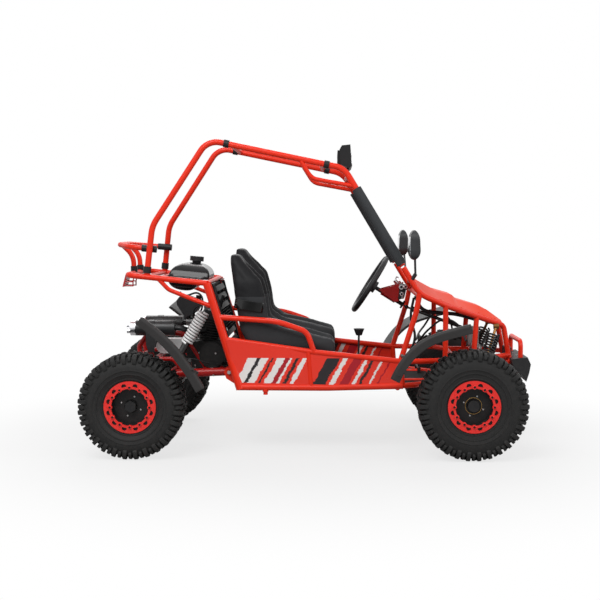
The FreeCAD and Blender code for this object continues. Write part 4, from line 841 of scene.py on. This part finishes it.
tyre_sizes = {"front": (front_tyre_radius, front_tyre_width), "rear": (rear_tyre_radius, rear_tyre_width)}
pitches_round = {"front": 30, "rear": 28}
for (end, side_name), centre in wheel_centres.items():
    radius, width = tyre_sizes[end]
    body = carcass("carcass", centre, radius, width)
    knobs = tread("tread", centre, radius, width, pitches_round[end])
    tyre = join([body, knobs], f"{end}_{side_name}_tyre")
    settle(tyre)
    smooth(tyre, 30)
    paint(tyre, finishes["tyre"])
    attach(tyre, wheel_body(end, side_name))
    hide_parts(f"{side_name}_front_tyre" if end == "front" else "rear_tyres")
    print(tyre.name, "faces:", len(tyre.data.polygons))

# %% [markdown]
# A coil spring is a round wire wound about the damper. A circle of wire is set at the coil's radius and the
# Screw modifier winds it along the axis; the modifier is then applied and the coil is laid along the damper.
# The rear springs are white and stand behind the seats; the front springs are wound closer, in black.

# %% Coil springs


def coil(name, low, high, start, stop, radius, wire, turns):
    """A helical spring on the line from low to high, between two shares of its length."""
    deselect()
    line = high - low
    length = line.length * (stop - start)
    upright = (math.pi / 2, 0, 0)
    bpy.ops.mesh.primitive_circle_add(vertices=10, radius=wire, location=(radius, 0, 0), rotation=upright)
    piece = bpy.context.object
    piece.name = name
    bpy.ops.object.transform_apply(location=True, rotation=True)
    screw = piece.modifiers.new("winding", "SCREW")
    screw.axis = "Z"
    screw.angle = math.tau
    screw.screw_offset = (length - 2 * wire) / turns
    screw.iterations = turns
    screw.steps = 28
    screw.render_steps = 28
    screw.use_merge_vertices = True
    bpy.ops.object.modifier_apply(modifier="winding")
    bpy.ops.object.mode_set(mode="EDIT")
    bpy.ops.mesh.select_all(action="SELECT")
    bpy.ops.mesh.remove_doubles(threshold=0.00005)
    bpy.ops.mesh.select_all(action="DESELECT")
    bpy.ops.mesh.select_mode(type="EDGE")
    bpy.ops.mesh.select_non_manifold()
    bpy.ops.mesh.fill()
    bpy.ops.mesh.select_all(action="SELECT")
    bpy.ops.mesh.normals_make_consistent(inside=False)
    bpy.ops.object.mode_set(mode="OBJECT")
    turn = line.to_track_quat("Z", "Y").to_matrix().to_4x4()
    piece.data.transform(Matrix.Translation(low + line * start) @ turn @ Matrix.Translation((0, 0, wire)))
    smooth(piece, 60)
    return piece


flip = Matrix.Scale(-1, 4, (0, 1, 0))
rear_coil = coil("rear_coil_left", at(164, 165, 414), at(296, 165, 646),
                 start=0.24, stop=0.91, radius=0.0235, wire=0.0054, turns=12)
front_coil = coil("front_coil_left", at(1532, 300, 230), at(1650, 143, 555),
                  start=0.26, stop=0.90, radius=0.0258, wire=0.0046, turns=17)
for left, look, slot, springs in ((rear_coil, "spring_white", "chrome", "rear_springs"),
                                  (front_coil, "black_paint", "black_gloss", "front_springs")):
    right = own_copy(left, left.name.replace("left", "right"), flip)
    for piece in (left, right):
        paint(piece, finishes[look])
        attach(piece, "chassis")
    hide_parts(springs)
print("coil faces:", len(rear_coil.data.polygons))

# %% [markdown]
# The upholstery is black vinyl over foam, and the foot of each seat is a bare moulding, a little lighter. A
# block with sharp corners would look like wood, so the seats are copied from their CAD solids, remeshed into
# small even cells and blown up slightly with the Cloth simulation, as foam pushes the cover out.

# %% Seat upholstery
vinyl = Finish("seat_vinyl", (0.008, 0.008, 0.009), (0.014, 0.014, 0.015),
               rough=0.50, grain=1300.0, patch=14.0, bump=0.30, depth=0.0004, specular=0.10)
foot_top = 0.70
seat_foot = math_node(vinyl.tree, "LESS_THAN", vinyl.z, foot_top)
vinyl.over(seat_foot, (0.030, 0.031, 0.033), rough=0.55)
finishes["seat_vinyl"] = vinyl.done()
foam_pressure = 4.0
foam_frames = 20
foam_reach = 0.005


def apply_modifier(piece, kind, **settings):
    """Adds a modifier with its settings and applies it."""
    work_on(piece)
    modifier = piece.modifiers.new(kind.lower(), kind)
    for key, value in settings.items():
        setattr(modifier, key, value)
    bpy.ops.object.modifier_apply(modifier=modifier.name)


def puffed(piece, cap):
    """Swells a pad with Cloth pressure, no point moving further than the cap."""
    rest = [v.co.copy() for v in piece.data.vertices]
    work_on(piece)
    cloth = piece.modifiers.new("foam", "CLOTH")
    cloth.settings.use_pressure = True
    cloth.settings.uniform_pressure_force = foam_pressure
    cloth.settings.effector_weights.gravity = 0.0
    for frame_number in range(1, foam_frames + 1):
        scene.frame_set(frame_number)
    bpy.ops.object.modifier_apply(modifier="foam")
    scene.frame_set(1)
    for vertex, before in zip(piece.data.vertices, rest):
        move = vertex.co - before
        if move.length > cap:
            vertex.co = before + move * (cap / move.length)


def node_copy(node_name, name):
    """A copy of a CAD piece with its own mesh, without its parent and the CAD's notes on it."""
    copy = own_copy(frame["nodes"][node_name], name, Matrix.Identity(4))
    copy.parent = None
    for key in list(copy.keys()):
        del copy[key]
    return copy


seats = join([node_copy(name, "cover_" + name) for name in ("seat_shells", "seat_pads")], "seats")
work_on(seats)
bpy.ops.object.mode_set(mode="EDIT")
bpy.ops.mesh.select_all(action="SELECT")
bpy.ops.mesh.remove_doubles(threshold=0.0001)
bpy.ops.object.mode_set(mode="OBJECT")
apply_modifier(seats, "REMESH", mode="VOXEL", voxel_size=0.007)
apply_modifier(seats, "SMOOTH", factor=0.7, iterations=30)
puffed(seats, foam_reach)
apply_modifier(seats, "SMOOTH", factor=0.5, iterations=4)
paint(seats, finishes["seat_vinyl"])
smooth(seats, 180)
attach(seats, "chassis")
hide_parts("seat_shells", "seat_pads")
print("upholstery faces:", len(seats.data.polygons))

# %% [markdown]
# Bolts are small, but an eye looks for them: a wheel without bolts looks like a toy. A head is a cylinder
# whose top is inset and sunk to make its socket, and the socket's floor is painted black as shade in the
# hole. One head is set on the wheel's face and spun round the axle, and the ring of heads is then copied to
# each wheel, mirrored for the right side.

# %% Bolts of the wheels
ring_face = 0.083
dish_face = 0.041
lay_out = Matrix.Rotation(-math.pi / 2, 4, "X")


def bolt_head(name, look, radius, height, sides, socket=0.0, socket_look="black_paint"):
    """A bolt head that stands on the origin and points up; socket is the radius of the hole in its top.
    The floor of the hole takes socket_look, black by default as painted shade.
    """
    deselect()
    bpy.ops.mesh.primitive_cylinder_add(vertices=sides, radius=radius, depth=height,
                                        location=(0, 0, height / 2))
    piece = bpy.context.object
    piece.name = name
    bpy.ops.object.transform_apply(location=True)
    piece.data.materials.append(finishes[look])
    piece.data.materials.append(finishes[socket_look])
    bpy.ops.object.mode_set(mode="EDIT")
    pick_faces(piece, lambda c, n: n.z > 0.9)
    chamfer = min(0.001, height * 0.2)
    bpy.ops.mesh.bevel(offset=chamfer, segments=1, affect="EDGES")
    if socket:
        pick_faces(piece, lambda c, n: n.z > 0.99)
        bpy.ops.mesh.inset(thickness=radius - chamfer - socket)
        bpy.ops.mesh.extrude_region_move(TRANSFORM_OT_translate={"value": (0, 0, -height * 0.6)})
        bpy.ops.object.mode_set(mode="OBJECT")
        # The floor of the socket takes the second material, black by default: painted shade in the hole.
        for face in piece.data.polygons:
            face.material_index = 1 if face.select else 0
    bpy.ops.object.mode_set(mode="OBJECT")
    return piece


def wheel_ring(head, radius, out, count, phase):
    """Heads at even steps round the origin, on a face that lies out from it."""
    head.data.transform(Matrix.Rotation(phase, 4, "Y") @ Matrix.Translation((0, out, radius)) @ lay_out)
    repeat_round(head, (0, 0, 0), count)
    smooth(head, 40)


def fit_to_wheels(piece, ends):
    """Copies a piece made at the origin for the left side to the wheels of the given ends."""
    for (end, side_name), centre in wheel_centres.items():
        if end not in ends:
            continue
        place = Matrix.Translation(centre)
        if side_name == "right":
            place = place @ flip
        copy = own_copy(piece, f"{piece.name}_{end}_{side_name}", place)
        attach(copy, wheel_body(end, side_name))
    bpy.data.objects.remove(piece)


both = ("front", "rear")
# The sockets of these red heads are floored in black, painted shade in the holes.
ring_bolts = bolt_head("ring_bolts", "ring_red", radius=0.0082, height=0.0046, sides=12, socket=0.0056)
wheel_ring(ring_bolts, radius=0.087, out=ring_face, count=12, phase=0.0)
fit_to_wheels(ring_bolts, both)
dish_bolts = bolt_head("dish_bolts", "alloy", radius=0.0046, height=0.004, sides=6)
wheel_ring(dish_bolts, radius=0.045, out=dish_face, count=4, phase=math.radians(20))
fit_to_wheels(dish_bolts, both)

# %% [markdown]
# The rings are cut from thick plate, and a cutter leaves no knife edge: the corners catch the light. The
# Bevel modifier takes off every edge sharper than an angle, which is quicker than picking them by hand.

# %% Rings of the wheels
sharpest = math.radians(40)
for name in ("left_front_ring", "right_front_ring", "rear_rings"):
    ring = node_copy(name, name + "_machined")
    apply_modifier(ring, "BEVEL", width=0.0012, segments=2, limit_method="ANGLE", angle_limit=sharpest)
    paint(ring, finishes["ring_red"])
    smooth(ring, 30)
    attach(ring, "rear_axle_body" if "rear" in name else name.replace("_ring", "_wheel_body"))
    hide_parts(name)
    print(ring.name, "faces:", len(ring.data.polygons))

# %% [markdown]
# A cap closes each front hub, with a thin brass ring round it, and a large nut holds each rear wheel. All of
# them are turned parts, so they start as a torus and as the same bolt head, made large.

# %% Caps and nuts of the hubs
deselect()
bpy.ops.mesh.primitive_torus_add(major_radius=0.036, minor_radius=0.0016, major_segments=40,
                                 minor_segments=8)
hub_ring = bpy.context.object
hub_ring.name = "hub_ring"
hub_ring.data.transform(Matrix.Translation((0, dish_face + 0.0008, 0)) @ lay_out)
smooth(hub_ring, 60)
paint(hub_ring, finishes["brass"])
fit_to_wheels(hub_ring, ("front",))

front_cap = bolt_head("hub_cap", "black_paint", radius=0.026, height=0.024, sides=24)
front_cap.data.transform(Matrix.Translation((0, dish_face - 0.004, 0)) @ lay_out)
smooth(front_cap, 40)
fit_to_wheels(front_cap, ("front",))
rear_nut = bolt_head("axle_nut", "black_paint", radius=0.027, height=0.029, sides=6)
rear_nut.data.transform(Matrix.Translation((0, dish_face - 0.002, 0)) @ lay_out)
fit_to_wheels(rear_nut, ("rear",))

# %% [markdown]
# The other bolts sit on curved or slanting faces. A ray from outside finds the face and its direction, as
# one would feel for the surface with a finger, and the head is set square on it, sunk by a hair.

# %% Bolts and rivets of the body


def seated(name, node_name, start, aim, look, **head_sizes):
    """A head set square on the surface that a ray from start along aim meets, with its mirror image."""
    node = frame["nodes"][node_name]
    into = node.matrix_world.inverted()
    hit, place, normal, _ = node.ray_cast(into @ start, (into.to_3x3() @ Vector(aim)).normalized())
    if not hit:
        return []
    place = node.matrix_world @ place
    normal = node.matrix_world.to_3x3() @ normal
    head = bolt_head(name, look, **head_sizes)
    turn = normal.to_track_quat("Z", "Y").to_matrix().to_4x4()
    head.data.transform(Matrix.Translation(place - normal * 0.0006) @ turn)
    smooth(head, 40)
    return [head, own_copy(head, name + "_other", flip)]


def spread(name, node_name, starts, aim, look, **head_sizes):
    """Heads at several places, joined into one piece of the chassis."""
    heads = []
    for start in starts:
        heads += seated(name, node_name, start, aim, look, **head_sizes)
    whole = join(heads, name)
    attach(whole, "chassis")
    print(name, len(heads))


inward = (0, 1, 0)
downward = (0, 0, -1)
bonnet_edge = [at(1293, -292, 900), at(1378, -270, 900), at(1478, -216, 900), at(1568, -150, 900),
               at(1648, -98, 900)]
spread("bonnet_rivets", "bonnet", bonnet_edge, downward, "bonnet_red",
       radius=0.005, height=0.002, sides=12)
# The socket of each mudguard bolt is floored in black as painted shade.
guard_bolt = {"radius": 0.006, "height": 0.003, "sides": 12, "socket": 0.003}
spread("mudguard_bolts_rear", "rear_mudguards", [at(278, -700, 398)], inward, "guard_grey", **guard_bolt)
spread("mudguard_bolts_front", "front_mudguards", [at(1172, -700, 374)], inward, "guard_grey", **guard_bolt)
spread("pivot_bolts", "floor_frame", [at(405, -400, 346)], inward, "steel",
       radius=0.0095, height=0.006, sides=6)
spread("cradle_bolts", "rear_cradle", [at(330, -400, 330)], inward, "steel",
       radius=0.006, height=0.004, sides=6)
panel_places = [at(700, -500, 440), at(700, -500, 310), at(812, -500, 418), at(812, -500, 322),
                at(1120, -500, 372), at(1130, -500, 330)]
spread("panel_rivets", "door_panels", panel_places, inward, "panel_red",
       radius=0.0035, height=0.0016, sides=10)
tank_places = [at(ahead, -125, 900) for ahead in (150, 180, 210, 240, 270)]
spread("tank_rivets", "fuel_tank", tank_places, downward, "black_gloss",
       radius=0.0036, height=0.002, sides=8)
spread("bumper_bolts", "front_bumper", [at(1760, -120, 600), at(1760, -60, 600)], downward, "steel",
       radius=0.006, height=0.003, sides=6)
engine_places = [at(250, -400, 420), at(330, -400, 420), at(380, -400, 380), at(230, -400, 360)]
spread("engine_bolts", "engine_case", engine_places, inward, "steel", radius=0.005, height=0.004, sides=6)

# %% [markdown]
# A wide glossy band passes round each seat and forward along its sides. It is bowed out over the padding, so
# the light breaks on it in upright streaks. Its outline from above is drawn for one half, raised into a band
# and tipped forward with the seat's back, and the other half is drawn with its sides turned over.

# %% Bands of the seats
band_outside = [(-7, 1), (-6, -104), (-4, -128), (8, -147), (34, -156), (64, -159), (96, -157),
                (118, -152), (130, -146)]
band_inside = [(129, -141), (96, -150), (64, -152), (34, -149), (13, -141), (3, -125), (1, -104), (0, 1)]
band_height = 0.044
tipped = Matrix.Rotation(math.radians(9), 4, "Y")
right_seat = (-158.0, 649.0)
left_seat = (158.0, 671.0)
arms = []
for middle, foot in (right_seat, left_seat):
    for side in (-1, 1):
        outline = [Vector((ahead / 1000, -side * across / 1000, 0))
                   for ahead, across in band_outside + band_inside]
        arm = slab("arm", outline, (0, 0, band_height), 0.0012)
        arm.data.transform(Matrix.Translation(at(436, middle, foot)) @ tipped)
        arms.append(arm)
bands = join(arms, "seat_bands")
paint(bands, finishes["webbing"])
smooth(bands, 40)
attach(bands, "chassis")
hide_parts("belts")
print("band faces:", len(bands.data.polygons))

# %% [markdown]
# The lamp bar has two rows of small lamps. Each is a flat bright disc, set on the bar's front face where a
# ray from ahead meets it. Places are measured on the bar's own box, so the rows keep to it.

# %% Lamps of the bar
bar = frame["nodes"]["light_bar"]
bar_corners = [bar.matrix_world @ Vector(corner) for corner in bar.bound_box]
bar_half = max(corner.y for corner in bar_corners)
bar_top = max(corner.z for corner in bar_corners)
bar_low = min(corner.z for corner in bar_corners)
columns = 6
row_shares = (0.34, 0.66)
lamp_step = bar_half / (columns + 1)
lamps = [Vector((bar_corners[0].x + 0.8, -lamp_step * (0.5 + column), bar_low + (bar_top - bar_low) * row))
         for column in range(columns) for row in row_shares]
spread("bar_lamps", "light_bar", lamps, (-1, 0, 0), "chrome",
       radius=lamp_step * 0.4, height=0.003, sides=16)

# %% [markdown]
# The tank is two deep-drawn pressings. Drawing stretches the sheet over a smooth tool, so it has no hard
# edge except its flange. A copy of the solid is remeshed and smoothed, which rounds the dome as the press
# does.

# %% Fuel tank
tank = node_copy("fuel_tank", "tank_pressings")
apply_modifier(tank, "REMESH", mode="VOXEL", voxel_size=0.0035)
apply_modifier(tank, "SMOOTH", factor=0.7, iterations=14)
paint(tank, finishes["black_gloss"])
smooth(tank, 180)
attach(tank, "chassis")
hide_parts("fuel_tank")
print("tank faces:", len(tank.data.polygons))

# %% [markdown]
# Behind the seats a woven wire screen keeps hands away from the engine, and the rack has a few thin slats
# round the tank. The screen is a grid turned into wire with the Wireframe modifier.

# %% Screen and slats


def wire_screen(name, corner, across, up, columns, rows, wire):
    """A woven screen on a slanting rectangle, given by a corner and its two edges."""
    deselect()
    bpy.ops.mesh.primitive_grid_add(x_subdivisions=columns, y_subdivisions=rows, size=1, location=(0, 0, 0))
    piece = bpy.context.object
    piece.name = name
    turn = Matrix((across, up, across.cross(up).normalized())).transposed().to_4x4()
    piece.data.transform(Matrix.Translation(corner + (across + up) / 2) @ turn)
    apply_modifier(piece, "WIREFRAME", thickness=wire)
    return piece


across = Vector((0, 0.380, 0))
up = Vector((-0.078, 0, 0.225))
screen = wire_screen("engine_screen", at(397, -190, 536), across, up, columns=30, rows=18, wire=0.004)
paint(screen, finishes["black_paint"])
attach(screen, "chassis")

rack_slope = 0.0986
slat_width = 6
slats = []
for side in (-1, 1):
    for ahead in (60, 84, 330):
        low = 795 - (ahead + 58) * rack_slope
        points = [at(ahead, side * 140, low), at(ahead + slat_width, side * 140, low),
                  at(ahead + slat_width, side * 286, low), at(ahead, side * 286, low)]
        slats.append(slab("slat", points, (0, 0, 0.003), 0.0))
slats = join(slats, "rack_slats")
paint(slats, finishes["black_paint"])
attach(slats, "chassis")
print("screen faces:", len(screen.data.polygons), "slat faces:", len(slats.data.polygons))

# %% [markdown]
# Hoses and cables give an engine bay its tangle. Each is a round tube that follows a few points in a smooth
# curve: a Bezier curve with some thickness, turned into a mesh. A run is written as the tube's radius and
# the points it passes, in millimetres ahead of the rear axle, to the left and above the ground.

# %% Hoses and cables
engine_runs = {
    "fuel_hose": (0.0045, [(150, -20, 706), (180, -60, 692), (250, -70, 700), (262, -66, 640),
                           (236, -40, 590)]),
    "spark_lead": (0.0045, [(300, -30, 540), (330, -70, 590), (352, -90, 540), (356, -96, 430),
                            (340, -90, 380)]),
    "loom": (0.007, [(372, -150, 700), (358, -150, 640), (372, -140, 560), (384, -120, 470),
                     (376, -110, 380)]),
    "brake_line": (0.0032, [(98, -146, 318), (120, -160, 360), (200, -168, 400), (300, -160, 380),
                            (392, -130, 360)]),
    "breather": (0.0055, [(262, 40, 560), (300, 80, 600), (340, 60, 620), (356, 10, 560),
                          (350, -40, 470)]),
    "throttle_cable": (0.003, [(214, -50, 590), (240, -100, 640), (320, -120, 650), (366, -126, 590),
                               (388, -120, 500)]),
}
front_runs = {
    "brake_hose_right": (0.005, [(1290, -60, 470), (1340, -120, 540), (1410, -190, 590),
                                 (1470, -240, 560), (1492, -290, 500)]),
    "brake_hose_left": (0.005, [(1290, 60, 470), (1340, 230, 520), (1410, 250, 590), (1470, 262, 560),
                                (1492, 290, 500)]),
    "front_loom": (0.009, [(1268, -200, 700), (1300, -190, 640), (1380, -170, 620), (1460, -150, 612),
                           (1560, -120, 585)]),
    "brake_run": (0.006, [(1262, -180, 690), (1250, -160, 600), (1270, -150, 500), (1240, -130, 420),
                          (1180, -120, 340)]),
}


def hose(name, radius, places):
    """A round hose through places."""
    deselect()
    bpy.ops.curve.primitive_bezier_curve_add(location=(0, 0, 0))
    piece = bpy.context.object
    piece.name = name
    line = piece.data.splines[0]
    line.bezier_points.add(len(places) - 2)
    for knot, place in zip(line.bezier_points, places):
        knot.co = at(*place)
        knot.handle_left_type = "AUTO"
        knot.handle_right_type = "AUTO"
    piece.data.bevel_depth = radius
    piece.data.bevel_resolution = 2
    piece.data.use_fill_caps = True
    piece.data.resolution_u = 8
    bpy.ops.object.convert(target="MESH")
    piece = bpy.context.object
    smooth(piece, 60)
    paint(piece, finishes["black_paint"])
    return piece


for bundle, runs in (("engine_hoses", engine_runs), ("front_hoses", front_runs)):
    hoses = join([hose(name, radius, places) for name, (radius, places) in runs.items()], bundle)
    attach(hoses, "chassis")
    print(bundle, "faces:", len(hoses.data.polygons))

# %% [markdown]
# The ignition switch stands on the dash bracket, a chromed barrel with its key in it. Beside it a black
# block holds the chromed push buttons for the lamps and the starter.

# %% Ignition switch
lean_back = Matrix.Rotation(math.radians(-35), 4, "Y")
face_right = Matrix.Rotation(math.pi / 2, 4, "X")
# The keyhole's floor is black, painted shade in the hole.
barrel = bolt_head("key_barrel", "chrome", radius=0.016, height=0.044, sides=20, socket=0.006)
barrel.data.transform(Matrix.Translation(at(1222, 176, 724)) @ lean_back)
smooth(barrel, 40)
key_outline = [at(1204, 175, 748), at(1194, 175, 764), at(1200, 175, 776), at(1212, 175, 772),
               at(1214, 175, 756)]
key = slab("key", key_outline, (0, 0.003, 0), 0.0)
paint(key, finishes["chrome"])
collar = bolt_head("key_collar", "chrome", radius=0.022, height=0.008, sides=24, socket=0.017,
                   socket_look="chrome")
collar.data.transform(Matrix.Translation(at(1219, 176, 730)) @ lean_back)
smooth(collar, 40)
block_outline = [at(1206, 100, 662), at(1236, 100, 672), at(1250, 100, 738), at(1214, 100, 742)]
block = slab("switch_body", block_outline, (0, 0.024, 0), 0.003)
paint(block, finishes["black_plastic"])
button_places = [(1220, 726, 0.012), (1241, 728, 0.010), (1222, 692, 0.010), (1228, 674, 0.006)]
buttons = []
for ahead, height, radius in button_places:
    # The dip in each button is floored in black, painted shade.
    button = bolt_head("button", "chrome", radius=radius, height=0.016, sides=20, socket=radius * 0.55)
    button.data.transform(Matrix.Translation(at(ahead, 101, height)) @ face_right)
    smooth(button, 40)
    buttons.append(button)
switch = join([barrel, collar, key, block] + buttons, "ignition_switch")
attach(switch, "chassis")
print("switch faces:", len(switch.data.polygons))

# %% [markdown]
# The mudguards are moulded from one sheet of plastic: slightly crowned across, rolled down at the outer edge
# and bent round the tyre. The section across is drawn once and pushed along the bend step by step, turning a
# little each time, as a strip is bent over a former. Solidify gives the sheet its thickness.

# %% Mudguards
guard_sink = 0.012
stay_radius = 0.008


def rod(name, low, high, radius):
    """A round bar between two points."""
    deselect()
    line = high - low
    bpy.ops.mesh.primitive_cylinder_add(vertices=16, radius=radius, depth=line.length, location=(0, 0, 0))
    piece = bpy.context.object
    piece.name = name
    turn = line.to_track_quat("Z", "Y").to_matrix().to_4x4()
    piece.data.transform(Matrix.Translation((low + high) / 2) @ turn)
    smooth(piece, 40)
    return piece


def bent_guard(name, line, inner, skin_drop, lip):
    """A crowned sheet with a rolled outer edge along a line at its upper side, for the left side."""
    outer = half_width - 0.001
    run = (line[1] - line[0]).normalized()
    up = Vector((-run.z, 0, run.x))
    if up.z < 0:
        up = -up
    section = [(inner, -skin_drop - 0.010), (inner + 0.006, -skin_drop), (inner + 0.060, -skin_drop * 0.6),
               (outer - 0.040, -skin_drop * 0.2), (outer - 0.012, 0.0), (outer - 0.005, -0.003),
               (outer, -0.010), (outer, -lip + 0.003), (outer, -lip)]
    points = [line[0] + Vector((0, y, 0)) + up * (z - guard_sink) for y, z in section]
    piece = drawn(name, points)
    bpy.ops.mesh.select_all(action="SELECT")
    for before, here, after in zip(line, line[1:], line[2:] + [None]):
        bpy.ops.mesh.extrude_region_move(TRANSFORM_OT_translate={"value": here - before})
        if after is None:
            break
        turn = (here - before).angle(after - here)
        if (here - before).cross(after - here).y < 0:
            turn = -turn
        bpy.ops.transform.rotate(value=-turn, orient_axis="Y", center_override=here)
    bpy.ops.mesh.select_all(action="SELECT")
    bpy.ops.mesh.normals_make_consistent(inside=False)
    bpy.ops.object.mode_set(mode="OBJECT")
    apply_modifier(piece, "SOLIDIFY", thickness=0.003, offset=0.0)
    apply_modifier(piece, "BEVEL", width=0.0008, segments=1)
    apply_modifier(piece, "SUBSURF", levels=1, render_levels=1)
    smooth(piece, 60)
    return piece


front_line = [at(ahead, 0, height) for ahead, height in (
    (1125, 368), (1147, 416), (1172, 453), (1197, 486), (1228, 516), (1260, 541), (1298, 561),
    (1336, 576), (1408, 597), (1476, 613))]
rear_line = [at(ahead, 0, height) for ahead, height in (
    (337, 325), (303, 386), (280, 420), (256, 452), (235, 482), (212, 509), (184, 538), (155, 566),
    (107, 607), (62, 640))]
front_stays = [(at(1198, 336, 437), at(1202, 470, 445)), (at(1398, 305, 540), at(1402, 500, 566))]
rear_stays = [(at(222, 204, 350), at(246, 440, 424)), (at(240, 204, 345), at(279, 440, 368))]
front_sizes = {"inner": 0.418, "skin_drop": 0.020, "lip": 0.042}
rear_sizes = {"inner": 0.405, "skin_drop": 0.026, "lip": 0.040}
for end, line, sizes, stays in (("front", front_line, front_sizes, front_stays),
                                ("rear", rear_line, rear_sizes, rear_stays)):
    sheet = bent_guard(end + "_mudguard_sheet", line, **sizes)
    stay_rods = [rod("stay", low, high, stay_radius) for low, high in stays]
    left_guard = join([sheet] + stay_rods, end + "_mudguard_left")
    right_guard = own_copy(left_guard, end + "_mudguard_right", flip)
    for piece in (left_guard, right_guard):
        paint(piece, finishes["guard_grey"])
        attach(piece, "chassis")
    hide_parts(end + "_mudguards")
    print(left_guard.name, "faces:", len(left_guard.data.polygons))

# %% [markdown]
# At the end the box round everything is measured.

# %% Measure the sizes
low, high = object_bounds()
